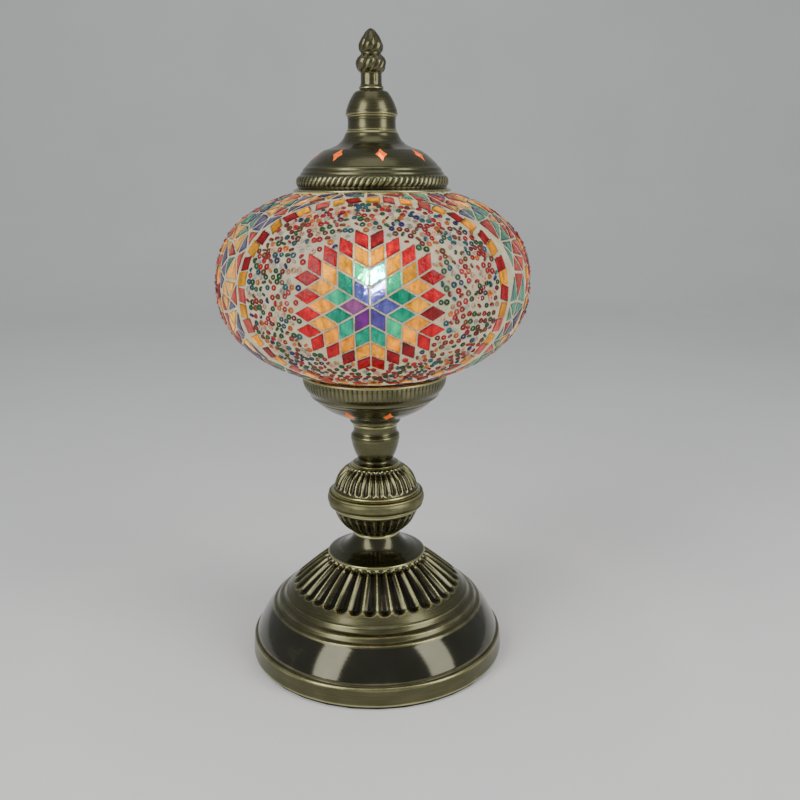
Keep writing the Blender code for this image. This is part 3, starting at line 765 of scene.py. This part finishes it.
# ---- materials ----
class Nodes:
    """A new material's node tree, with short calls for nodes and links."""

    def __init__(self, name):
        self.material = bpy.data.materials.new(name)
        self.material.use_nodes = True
        self.tree = self.material.node_tree
        self.tree.nodes.clear()
        self.output = self.tree.nodes.new("ShaderNodeOutputMaterial")

    def add(self, kind, values=None, links=None, **settings):
        """A node with settings, socket values and links into it, by socket name or number."""
        node = self.tree.nodes.new("ShaderNode" + kind)
        for key, value in settings.items():
            setattr(node, key, value)
        for key, value in (values or {}).items():
            node.inputs[key].default_value = value
        for key, source in (links or {}).items():
            self.tree.links.new(source, node.inputs[key])
        return node

    def place(self):
        return self.add("TexCoord").outputs["Object"]

    def attribute(self, name, socket="Fac"):
        return self.add("Attribute", attribute_name=name, attribute_type="GEOMETRY").outputs[socket]

    def scaled(self, vector, factors):
        return self.add("VectorMath", {1: factors}, {0: vector}, operation="MULTIPLY").outputs[0]

    def noise(self, vector, scale, detail=3.0, roughness=0.55):
        values = {"Scale": scale, "Detail": detail, "Roughness": roughness}
        return self.add("TexNoise", values, {"Vector": vector}).outputs["Fac"]

    def spread(self, value, low, high, to_low=0.0, to_high=1.0):
        values = {1: low, 2: high, 3: to_low, 4: to_high}
        return self.add("MapRange", values, {0: value}).outputs[0]

    def maths(self, operation, first, second):
        node = self.add("Math", operation=operation)
        for index, value in enumerate((first, second)):
            if isinstance(value, (int, float)):
                node.inputs[index].default_value = value
            else:
                self.tree.links.new(value, node.inputs[index])
        return node.outputs[0]

    def ramp(self, value, stops):
        node = self.add("ValToRGB", links={"Fac": value})
        band = node.color_ramp
        while len(band.elements) < len(stops):
            band.elements.new(0.5)
        for element, (place, colour) in zip(band.elements, stops):
            element.position = place
            element.color = (*colour, 1.0)
        return node.outputs["Color"]

    def tones(self, value, low, high):
        """A ramp between two colours over the middle of a noise's range."""
        return self.ramp(value, [(0.3, low), (0.7, high)])

    def multiply(self, first, second):
        node = self.add("Mix", {"Factor": 1.0}, data_type="RGBA", blend_type="MULTIPLY")
        self.tree.links.new(first, node.inputs["A"])
        self.tree.links.new(second, node.inputs["B"])
        return node.outputs["Result"]

    def bump(self, height, strength, distance, normal=None):
        links = {"Height": height}
        if normal is not None:
            links["Normal"] = normal
        return self.add("Bump", {"Strength": strength, "Distance": distance}, links).outputs[0]

    def shader(self, kind, values=None, **links):
        """A shader's output; a link's name has _ for each space in its socket's name."""
        named = {key.replace("_", " "): source for key, source in links.items()}
        return self.add("Bsdf" + kind, values, named).outputs[0]

    def blend(self, share, first, second):
        """One shader over another, by a number or by a node's value."""
        fixed = isinstance(share, float)
        links = {1: first, 2: second} if fixed else {0: share, 1: first, 2: second}
        return self.add("MixShader", {0: share} if fixed else None, links).outputs[0]

    def finish(self, shader):
        self.tree.links.new(shader, self.output.inputs["Surface"])
        return self.material


def brass_material(name, dark, middle, bright, roughness, coat, drawn=0.4):
    """Antiqued brass: dark patina with painted shade in the hollows and on the flute floors, rubbed wear with a
    painted highlight on the ridges, and turned lines round the axis.
    """
    n = Nodes(name)
    place = n.place()
    lines = n.noise(n.scaled(place, (40.0, 40.0, 5200.0)), 1.0, 2.0)
    broad = n.noise(n.scaled(place, (60.0, 60.0, 260.0)), 1.0, 3.0)
    cloud = n.noise(place, 55.0, 4.0)
    speck = n.noise(place, 1900.0, 2.0)
    wear_highlight_and_shade = n.attribute("wear_highlight_and_shade")
    recess_shade = n.attribute("recess_shade")
    # Painted highlight and shade: ridges lighter, as rubbed wear with a painted highlight; hollows darker, as
    # patina with painted shade.
    rubbed_and_painted_light = n.maths("ADD", wear_highlight_and_shade, n.spread(cloud, 0.3, 0.7, -0.06, 0.06))
    # Painted shade: the flute floors darken with their depth.
    rubbed_and_painted_light = n.maths("SUBTRACT", rubbed_and_painted_light, n.maths("MULTIPLY", recess_shade, 0.26))
    colour = n.ramp(rubbed_and_painted_light, [(0.10, dark), (0.42, middle), (0.56, middle), (0.86, bright)])
    streak = n.tones(n.maths("ADD", n.maths("MULTIPLY", lines, 0.6), n.maths("MULTIPLY", broad, 0.4)),
                     (1.0 - 0.7 * drawn,) * 3, (1.0 + 0.5 * drawn,) * 3)
    colour = n.multiply(colour, streak)
    stain = n.ramp(cloud, [(0.34, (0.80, 0.86, 0.78)), (0.62, (1.0, 1.0, 1.0))])
    colour = n.multiply(colour, stain)
    rough = n.maths("ADD", n.spread(lines, 0.3, 0.7, roughness - 0.12 * drawn, roughness + 0.18 * drawn),
                    n.spread(wear_highlight_and_shade, 0.1, 0.5, 0.10, 0.0))
    rough = n.maths("SUBTRACT", rough, n.maths("MULTIPLY", recess_shade, 0.08))
    normal = n.bump(lines, 0.25 * drawn, 0.00012)
    normal = n.bump(speck, 0.08, 0.0001, normal)
    tangent = n.add("Tangent", direction_type="RADIAL", axis="Z").outputs[0]
    values = {"Metallic": 1.0, "Anisotropic": drawn, "Coat Weight": coat, "Coat Roughness": 0.10}
    return n.finish(n.shader("Principled", values, Base_Color=colour, Roughness=rough, Normal=normal,
                             Tangent=tangent))


def painted_glow_inside_material():
    """The coppery inside of the pierced walls, with a painted glow: it emits orange light of its own in place of
    the bulb's light falling on it.
    """
    n = Nodes("painted_glow_inside")
    colour = n.tones(n.noise(n.place(), 90.0, 4.0), (0.62, 0.13, 0.014), (0.74, 0.19, 0.028))
    values = {"Roughness": 0.5, "Metallic": 0.2, "Emission Strength": 0.55}
    return n.finish(n.shader("Principled", values, Base_Color=colour, Emission_Color=colour))


def stained_glass_material(name, scale, through, scatter):
    """Rolled glass in the tint of its own points: it shines, scatters the bulb's light, and lets a
    little straight through."""
    n = Nodes(name)
    place = n.place()
    ripple = n.noise(place, scale, 2.0)
    seeds = n.noise(place, scale * 4.0, 2.0)
    streak = n.noise(n.scaled(place, (1.0, 1.0, 0.35)), scale * 0.8, 3.0)
    body = n.multiply(n.attribute("tint", "Color"), n.tones(streak, (0.52, 0.50, 0.54), (1.40, 1.40, 1.30)))
    normal = n.bump(ripple, 0.7, 0.0017)
    normal = n.bump(seeds, 0.3, 0.0004, normal)
    front = n.shader("Principled", {"IOR": 1.52, "Coat Weight": 0.4, "Coat Roughness": 0.04},
                     Base_Color=body, Roughness=n.spread(seeds, 0.3, 0.7, 0.07, 0.18), Normal=normal)
    glow = n.shader("Translucent", Color=body, Normal=normal)
    clear = n.shader("Refraction", {"IOR": 1.10, "Roughness": 0.36}, Color=body, Normal=normal)
    return n.finish(n.blend(through, n.blend(scatter, front, glow), clear))


def grout_material():
    """Pale grey-green bedding compound with fine sand in it."""
    n = Nodes("grout")
    place = n.place()
    cloud = n.noise(place, 120.0, 4.0)
    grain = n.noise(place, 2600.0, 3.0)
    colour = n.tones(cloud, (0.34, 0.34, 0.28), (0.49, 0.485, 0.41))
    colour = n.multiply(colour, n.ramp(grain, [(0.30, (0.72, 0.72, 0.70)), (0.62, (1.10, 1.10, 1.08))]))
    normal = n.bump(cloud, 0.4, 0.0006)
    normal = n.bump(grain, 0.35, 0.0002, normal)
    front = n.shader("Principled", {"Roughness": 0.72}, Base_Color=colour, Normal=normal)
    glow = n.shader("Translucent", Color=colour, Normal=normal)
    open_part = n.shader("Transparent", Color=n.tones(cloud, (0.93, 0.93, 0.90), (1.0, 1.0, 0.98)))
    return n.finish(n.blend(n.attribute("window"), n.blend(0.25, front, glow), open_part))


def hidden_back_material():
    """The back of tiles and bed, cemented to the globe: light passes, and nothing is seen."""
    n = Nodes("cemented_back")
    tone = n.tones(n.noise(n.place(), 150.0), (0.97, 0.97, 0.96), (1.0, 1.0, 1.0))
    return n.finish(n.shader("Transparent", Color=tone))


def clear_glass_material(name, tone):
    """Thin clear glass: it reflects at its rim and lets the rest through."""
    n = Nodes(name)
    ripple = n.noise(n.place(), 45.0, 2.0)
    colour = n.tones(ripple, tone, tuple(min(1.0, part * 1.03) for part in tone))
    normal = n.bump(ripple, 0.15, 0.0005)
    edge = n.add("Fresnel", {"IOR": 1.45}, {"Normal": normal}).outputs[0]
    shine = n.shader("Glossy", {"Roughness": 0.06}, Normal=normal)
    return n.finish(n.blend(edge, n.shader("Transparent", Color=colour), shine))


def bulb_glass_material():
    """Lightly frosted bulb glass that carries the filament's glow."""
    n = Nodes("bulb_frost")
    cloud = n.noise(n.place(), 160.0, 3.0)
    clear = n.shader("Transparent", Color=n.tones(cloud, (0.96, 0.93, 0.86), (1.0, 0.98, 0.93)))
    warmth = n.tones(cloud, (1.0, 0.80, 0.52), (1.0, 0.88, 0.66))
    frost = n.add("Emission", {"Strength": 8.0}, {"Color": warmth}).outputs[0]
    edge = n.add("Fresnel", {"IOR": 1.35}).outputs[0]
    return n.finish(n.blend(edge, n.blend(0.30, clear, frost), n.shader("Glossy", {"Roughness": 0.08})))


def filament_material():
    n = Nodes("hot_filament")
    colour = n.tones(n.noise(n.place(), 700.0, 2.0), (1.0, 0.72, 0.38), (1.0, 0.86, 0.60))
    return n.finish(n.add("Emission", {"Strength": 160.0}, {"Color": colour}).outputs[0])


def fitting_material(name, low, high, roughness, metallic, scale=400.0, bump=0.12):
    """A plain fitting's finish: a mottled tone with a fine grain and uneven gloss."""
    n = Nodes(name)
    place = n.place()
    cloud = n.noise(place, scale * 0.25, 4.0)
    normal = n.bump(n.noise(place, scale * 6.0, 2.0), bump, 0.0002)
    rough = n.spread(cloud, 0.3, 0.7, roughness - 0.06, roughness + 0.08)
    return n.finish(n.shader("Principled", {"Metallic": metallic}, Base_Color=n.tones(cloud, low, high),
                             Normal=normal, Roughness=rough))


SHADOW = (0.016, 0.013, 0.008)
# The ridges' bright tone: rubbed brass with a painted highlight.
RUBBED_AND_HIGHLIGHT = (0.50, 0.47, 0.235)
brass = brass_material("antique_brass", SHADOW, (0.120, 0.110, 0.056), RUBBED_AND_HIGHLIGHT, 0.24, 0.25)
lacquered = brass_material("lacquered_brass", SHADOW, (0.060, 0.055, 0.034), (0.42, 0.39, 0.21), 0.10, 0.5, 0.10)
dusky = brass_material("dusky_brass", SHADOW, (0.074, 0.068, 0.038), RUBBED_AND_HIGHLIGHT, 0.20, 0.3, 0.3)
brushed = brass_material("brushed_brass", SHADOW, (0.150, 0.140, 0.070), (0.52, 0.49, 0.25), 0.34, 0.0, 0.75)
painted_glow_inside = painted_glow_inside_material()
tile_glass = stained_glass_material("mosaic_glass", 330.0, 0.20, 0.42)
bead_glass = stained_glass_material("bead_glass", 900.0, 0.0, 0.12)
grout = grout_material()
cemented = hidden_back_material()
globe_clear = clear_glass_material("globe_glass", (0.93, 0.96, 0.94))
stem_clear = clear_glass_material("stem_glass", (0.95, 0.95, 0.93))
bulb_frost = bulb_glass_material()
filament_glow = filament_material()

FITTINGS = {name: fitting_material(name, *finish) for name, finish in {
    "plated_steel": ((0.40, 0.40, 0.38), (0.60, 0.60, 0.58), 0.32, 1.0),
    "bright_brass": ((0.55, 0.40, 0.16), (0.78, 0.60, 0.28), 0.28, 1.0),
    "nickel": ((0.48, 0.46, 0.43), (0.66, 0.64, 0.60), 0.25, 1.0),
    "black_rubber": ((0.010, 0.010, 0.010), (0.028, 0.027, 0.026), 0.75, 0.0, 300.0, 0.3),
    "black_resin": ((0.014, 0.013, 0.012), (0.035, 0.033, 0.030), 0.38, 0.0),
    "white_ceramic": ((0.74, 0.72, 0.66), (0.84, 0.83, 0.79), 0.35, 0.0),
}.items()}
FITTINGS.update(antique_brass=brass, clear_glass=stem_clear, mosaic_glass=grout, filament_wire=filament_glow)


def finish_cad_nodes():
    """Give every CAD node the finish of its own slot in the record."""
    for entry in frame["record"]["subparts"]:
        node = frame["nodes"][entry["node"]]
        if not node.material_slots:
            node.data.materials.append(None)
        for place in node.material_slots:
            place.material = FITTINGS[entry["material_slot"]]


# ---- the pieces ----
def brass_piece(name, node, body, shape, back, around, reliefs=(), step=0.4, rounding=0.4, full=0.55,
                finishes=None, level=None, holes=None, band=None):
    """A turned brass piece in place of a CAD node. holes gives its stars' radius, height, slope and
    first azimuth, and band the heights between which it has its third finish."""
    level = foot_of(node) if level is None else level
    mesh = turned(name, shape, back, around, reliefs, step, rounding, level)
    if holes:
        mesh = pierce(mesh, star_prisms(holes[0], level + holes[1], math.radians(holes[2]),
                                        math.radians(holes[3])))
    mark_wear_highlight_and_shade(mesh, full)
    if band:
        for face in mesh.polygons:
            if face.material_index == 0 and (level + band[0]) * MM < face.center.z < (level + band[1]) * MM:
                face.material_index = 2
    link(name + "_visual", mesh, body, finishes or [brass, brass], [node])


def make_foot():
    shape = outline((91.1, 0.0), (91.3, 0.4), (90.6, 11.6), (89.9, 12.7), (88.6, 13.1), (88.0, 13.7),
                    (88.0, 14.9), (76.4, 33.9, 0.9), (75.9, 34.9), (74.9, 35.5), (73.3, 36.2), (72.2, 37.9),
                    (71.6, 38.8), (70.6, 39.4), (68.3, 40.3), (66.9, 42.1), (66.3, 43.2), (65.2, 44.0),
                    (37.8, 67.8, 0.6), (36.2, 68.6), (33.6, 69.3), (33.6, 70.6))
    back = [(5.4, 70.6), (5.4, 67.9), (31.5, 67.9), (57.0, 45.4), (72.6, 32.6), (84.6, 13.6), (88.4, 10.8),
            (88.9, 0.0)]
    brass_piece("foot", "base_shell", "stand", shape, back, 432, [flutes(36, 48.6, 70.4, FLUTE_DEPTH)],
                0.62, 0.5, 0.75, [brass, brass, lacquered], band=(14.5, 34.0))


def make_stem():
    shape = outline((34.2, 0.0), (34.9, 0.3), (35.2, 1.0), (34.6, 1.7), (32.0, 2.5), (27.0, 4.3, -0.2),
                    (17.2, 13.2, -1.5), (16.5, 15.6), (16.5, 16.7))
    back = [(5.4, 16.7), (5.4, 13.4), (13.6, 13.4), (16.8, 7.4), (22.4, 3.0), (29.5, 0.0)]
    brass_piece("saucer", "base_saucer", "stand", shape, back, 160, step=0.5, finishes=[dusky, dusky])

    shape = outline((16.9, 0.0), (17.6, 0.7), (20.2, 2.5), (30.2, 17.2, 1.6), (30.8, 18.4), (30.8, 19.7))
    back = [(28.4, 19.7), (26.2, 14.2), (21.0, 6.6), (16.0, 3.2), (5.4, 3.2), (5.4, 0.0)]
    brass_piece("ball_lower", "ball_lower", "stand", shape, back, 360, [flutes(30, 1.4, 17.6, 1.3, 0.05)], 0.5)

    shape = outline((31.6, 0.0), (33.2, 0.2), (33.7, 0.9), (33.2, 1.6), (34.6, 5.4, 0.4), (33.5, 8.8, 0.3),
                    (33.9, 9.4), (33.4, 10.1), (32.2, 10.6), (31.4, 11.0))
    brass_piece("ball_band", "ball_band", "stand", shape, [(26.5, 11.0), (26.5, 0.0)], 192,
                step=0.3, rounding=0.25, finishes=[brushed, brushed])

    shape = outline((30.6, 0.0), (31.0, 0.6), (30.3, 1.5), (29.5, 2.0), (20.4, 16.4, 2.1), (18.4, 18.0),
                    (16.9, 18.9), (16.6, 19.2))
    back = [(5.4, 19.2), (5.4, 16.6), (15.0, 16.0), (19.4, 12.0), (24.2, 5.4), (27.2, 0.0)]
    brass_piece("ball_upper", "ball_upper", "stand", shape, back, 432, [flutes(36, 2.6, 17.6, 1.45)], 0.5)

    shape = outline((16.7, 0.0), (16.2, 0.4), (13.4, 1.2, -0.2), (12.1, 3.0, -0.2), (16.9, 16.6, 0.7),
                    (17.3, 19.0, 0.1), (17.1, 21.0), (16.2, 22.2, -0.1), (15.3, 24.6, -0.3), (15.9, 28.6, -0.3),
                    (16.2, 29.1))
    brass_piece("neck", "neck_column", "stand", shape, [(5.4, 29.1), (5.4, 0.0)], 160, rounding=0.45)


def make_cup():
    shape = outline((16.3, 0.0), (17.4, 0.9), (18.0, 1.9), (17.7, 2.8), (17.9, 3.4), (22.6, 6.3, -0.2),
                    (34.4, 12.2, 0.3), (38.4, 15.5), (40.6, 17.3), (41.0, 18.2), (42.6, 19.2), (43.9, 19.9),
                    (45.0, 21.3), (45.1, 22.5), (46.2, 24.1), (49.7, 32.6, 0.9), (50.1, 34.2),
                    (50.5, 35.0), (50.3, 35.9))
    back = [(46.4, 35.9), (46.2, 30.4), (44.0, 25.6), (32.4, 13.9), (21.0, 8.0), (5.4, 8.0), (5.4, 0.0)]
    # The cup's inner wall and the sides of its star holes have a painted glow, as if lit by the bulb.
    brass_piece("cup", "globe_cup", "stand", shape, back, 576, [notched(96, 25.0, 34.8, 0.85)], 0.5, 0.35, 1.0,
                [brass, painted_glow_inside], holes=(34.0, 12.9, 31.0, -75.0))


def make_cap():
    shape = outline((52.0, 0.0), (52.3, 0.4), (51.6, 1.3), (49.6, 2.2), (48.9, 2.9), (49.3, 9.0, 0.9),
                    (48.2, 10.0), (47.4, 10.5), (46.9, 12.0), (45.9, 13.0), (45.1, 14.9), (44.1, 15.6),
                    (43.5, 16.2), (31.4, 26.2, 0.8), (22.8, 29.5, -0.3), (17.4, 36.4, -0.7), (16.2, 38.2))
    back = [(2.8, 38.2), (2.8, 36.0), (13.4, 36.0), (20.6, 27.0), (30.6, 23.4), (41.6, 15.0), (46.4, 7.6),
            (46.4, 0.0)]
    # The dome's inner wall and the sides of its star holes have a painted glow, as if lit by the bulb.
    brass_piece("cap_dome", "cap_dome", "cap", shape, back, 480, [gadroons(80, 2.7, 9.7, 1.05, 0.010)],
                0.55, full=0.85, finishes=[brass, painted_glow_inside], holes=(36.6, 23.0, -37.0, -81.0))

    shape = outline((16.3, 0.0), (16.1, 0.6), (15.6, 1.0), (15.8, 1.6), (15.7, 6.8, -0.1), (15.9, 7.4),
                    (15.6, 7.9), (16.1, 8.4), (16.3, 9.1))
    brass_piece("cap_sleeve", "cap_sleeve", "cap", shape, [(13.2, 9.1), (13.2, 0.0)], 160,
                step=0.35, rounding=0.25, full=1.0)

    shape = outline((16.6, 0.0), (17.1, 0.5), (17.0, 1.4), (16.6, 1.9), (16.7, 2.6), (11.2, 14.0, 0.6),
                    (9.9, 14.9), (9.2, 15.1))
    back = [(2.8, 15.1), (2.8, 12.6), (9.4, 12.2), (13.6, 5.0), (14.2, 0.0)]
    brass_piece("cap_bell", "cap_bell", "cap", shape, back, 160, full=1.0)


def make_finial():
    low, high = (corner.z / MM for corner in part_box("finial"))
    level = high - FINIAL_RISE
    spigot = low - level
    shape = outline((8.1, 0.0), (8.2, 0.4), (7.6, 1.5), (6.9, 3.0, -0.2), (6.7, 4.2), (6.7, 9.2), (6.9, 9.8),
                    (9.3, 14.0, 0.5), (9.5, 16.0, 0.1), (7.4, 19.8, 0.4), (6.5, 21.0), (6.4, 22.0),
                    (7.7, 25.0, 0.3), (7.4, 28.0, 0.3), (5.2, 31.8, 0.2), (3.3, 34.4), (1.5, 36.2),
                    (0.0, FINIAL_RISE), (0.0, FINIAL_RISE))
    reliefs = [gadroons(8, 2.6, 9.4, 0.22, power=1.0), veined(9, 9.8, 20.6, 1.0, 0.55),
               veined(6, 21.8, 31.4, 0.9, 0.5), veined(5, 29.8, 36.0, 0.5, -0.4)]
    brass_piece("finial", "finial", "finial_turn", shape, [(0.0, spigot), (2.4, spigot), (2.4, -0.1)], 176,
                reliefs, 0.32, 0.35, 0.80, level=level)


def globe_outline(depth, low, high, steps):
    """The globe's profile at a depth under the mosaic's face, between two latitudes."""
    points = []
    for step in range(steps + 1):
        place, _ = globe.point(0.0, low + (high - low) * step / steps, depth)
        points.append((place.x, place.z))
    return points


def make_globe():
    low = globe.latitude_at(SKIN_LOW)
    high = globe.latitude_at(SKIN_HIGH)
    bottom = globe.latitude_at(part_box("globe_glass")[0].z / MM - GLASS_OUTSET)
    neck = [(43.8, 329.6), (43.8, 334.0)]
    shape = globe_outline(GLASS_OUTSET, bottom, high - 0.05, 90) + neck
    inside = [(41.3, 334.0), (41.3, 326.2)] + globe_outline(GLASS_INSET, bottom, high - 0.09, 90)[::-1]
    mesh = turned("globe_shell", shape, inside, 160, step=2.0, rounding=0.3)
    link("globe_glass_visual", mesh, "stand", [globe_clear, globe_clear], ["globe_glass"])

    shape = globe_outline(GROUT_DEPTH, low, high, 120)
    inside = globe_outline(SKIN_THICKNESS, low, high, 120)[::-1]
    bed = turned("bed", shape, inside, 560, [dents(0.20, 0.30)], step=1.0, rounding=0.3)
    outlines = []

    centres = [FRONT + math.tau * index / MEDALLIONS for index in range(MEDALLIONS)]
    edge_low = low + 4.6 / globe.scale
    edge_high = high - 4.2 / globe.scale
    for index, centre in enumerate(centres):
        rng = random.Random(SEED + index)
        tiles, beads, gap = Batch(), Batch(), Batch()
        star_tiles(tiles, centre, rng)
        border_tiles(tiles, centre, rng, edge_low, edge_high)
        scatter_beads(beads, centre, rng)
        shards(gap, centre + math.pi / MEDALLIONS, rng, low + 0.03, high - 0.03, centres)
        for kind, batch, finishes in (("medallion", tiles, [tile_glass, cemented]),
                                      ("beads", beads, [bead_glass]), ("shards", gap, [tile_glass, cemented])):
            piece = f"{kind}_{index + 1}"
            link(piece, batch.mesh(piece), "stand", finishes, ["mosaic_skin"])
        outlines += tiles.outlines + gap.outlines
    open_windows(bed, outlines)
    link("mosaic_bed", bed, "stand", [grout, cemented], ["mosaic_skin"])


def make_bulb():
    level = foot_of("bulb_glass")
    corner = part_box("bulb_glass")[1]
    top, radius = corner.z / MM, corner.x / MM
    centre = top - radius - level
    start = math.radians(-65.0)

    def envelope(reach):
        points = []
        for step in range(33):
            angle = start + (math.pi / 2.0 - start) * step / 32
            points.append((reach * math.cos(angle) if step < 32 else 0.0, centre + reach * math.sin(angle)))
        return points

    shape = [(5.9, 0.0), (5.9, 7.8), (7.2, 9.6)] + envelope(radius)
    inside = envelope(radius - 0.9)[::-1] + [(6.5, 10.6), (5.0, 8.2), (5.0, 0.0)]
    mesh = turned("envelope", shape, inside, 64, step=0.8, rounding=0.4, level=level)
    link("bulb_glass_visual", mesh, "bulb_turn", [bulb_frost, bulb_frost], ["bulb_glass"])


# ---- studio ----
def softbox(name, azimuth, elevation, distance, width, height, strength):
    """An area lamp that looks at the lamp's middle; azimuth 0 is in front, and grows to the right."""
    data = bpy.data.lights.new(name, "AREA")
    data.shape = "RECTANGLE"
    data.size = width
    data.size_y = height
    data.energy = strength * width * height * math.pi
    turn = math.radians(azimuth)
    rise = math.radians(elevation)
    lamp = put(name, data)
    offset = Vector((math.sin(turn) * math.cos(rise), -math.cos(turn) * math.cos(rise), math.sin(rise)))
    lamp.location = Vector((0.0, 0.0, LIGHTS_AIM)) + offset * distance
    lamp.rotation_mode = "QUATERNION"
    lamp.rotation_quaternion = (-offset).to_track_quat("-Z", "Y")
    lamp.visible_camera = False


def make_studio():
    """A pale floor that curves up into a pale wall, three softboxes, a faint sky, and the bulb's own light."""
    line = [(-3.0, 0.0), (1.6, 0.0)]
    for step in range(1, 13):
        turn = math.radians(90.0 * step / 12)
        line.append((1.6 + 0.9 * math.sin(turn), 0.9 - 0.9 * math.cos(turn)))
    line.append((2.5, 3.2))
    verts = [(x, y, z) for y, z in line for x in (-4.0, 4.0)]
    faces = [(i, i + 1, i + 3, i + 2) for i in range(0, 2 * len(line) - 2, 2)]
    mesh = bpy.data.meshes.new("backdrop")
    mesh.from_pydata(verts, [], faces)
    mesh.shade_smooth()
    n = Nodes("backdrop_paper")
    tone = n.tones(n.noise(n.place(), 3.0), (0.84, 0.835, 0.82), (0.88, 0.875, 0.86))
    mesh.materials.append(n.finish(n.shader("Principled", {"Roughness": 0.8}, Base_Color=tone)))
    floor = put("backdrop", mesh)

    softbox("softbox_left", -46.0, 26.0, 1.25, 0.54, 1.25, 4.6)
    softbox("softbox_right", 58.0, 24.0, 1.25, 0.54, 1.25, 4.1)
    softbox("softbox_top", 0.0, 80.0, 1.5, 1.2, 0.8, 0.9)

    world = bpy.data.worlds.new("studio")
    world.use_nodes = True
    background = world.node_tree.nodes["Background"]
    background.inputs["Color"].default_value = (0.93, 0.96, 1.0, 1.0)
    background.inputs["Strength"].default_value = 0.38
    bpy.context.scene.world = world

    filament_low, filament_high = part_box("bulb_filament")
    data = bpy.data.lights.new("bulb_light", "POINT")
    data.energy = 3.4
    data.color = (1.0, 0.80, 0.55)
    data.shadow_soft_size = 0.006
    lamp = put("bulb_light", data)
    lamp.location = (filament_low + filament_high) / 2.0
    lamp.visible_camera = False
    lamp.visible_glossy = False


def make_camera():
    """The viewpoint: 0.6 m in front, a little above the cap's rim, looking down on the base."""
    data = bpy.data.cameras.new("view")
    data.lens = CAMERA_LENS
    data.sensor_width = 36.0
    camera = put("view", data)
    camera.location = CAMERA_PLACE
    camera.rotation_mode = "XYZ"
    camera.rotation_euler = [math.radians(angle) for angle in (90.0 - CAMERA_DIP, CAMERA_ROLL, CAMERA_PAN)]
    bpy.context.scene.camera = camera


finish_cad_nodes()
make_foot()
make_stem()
make_cup()
make_globe()
make_bulb()
make_cap()
make_finial()
make_studio()
make_camera()
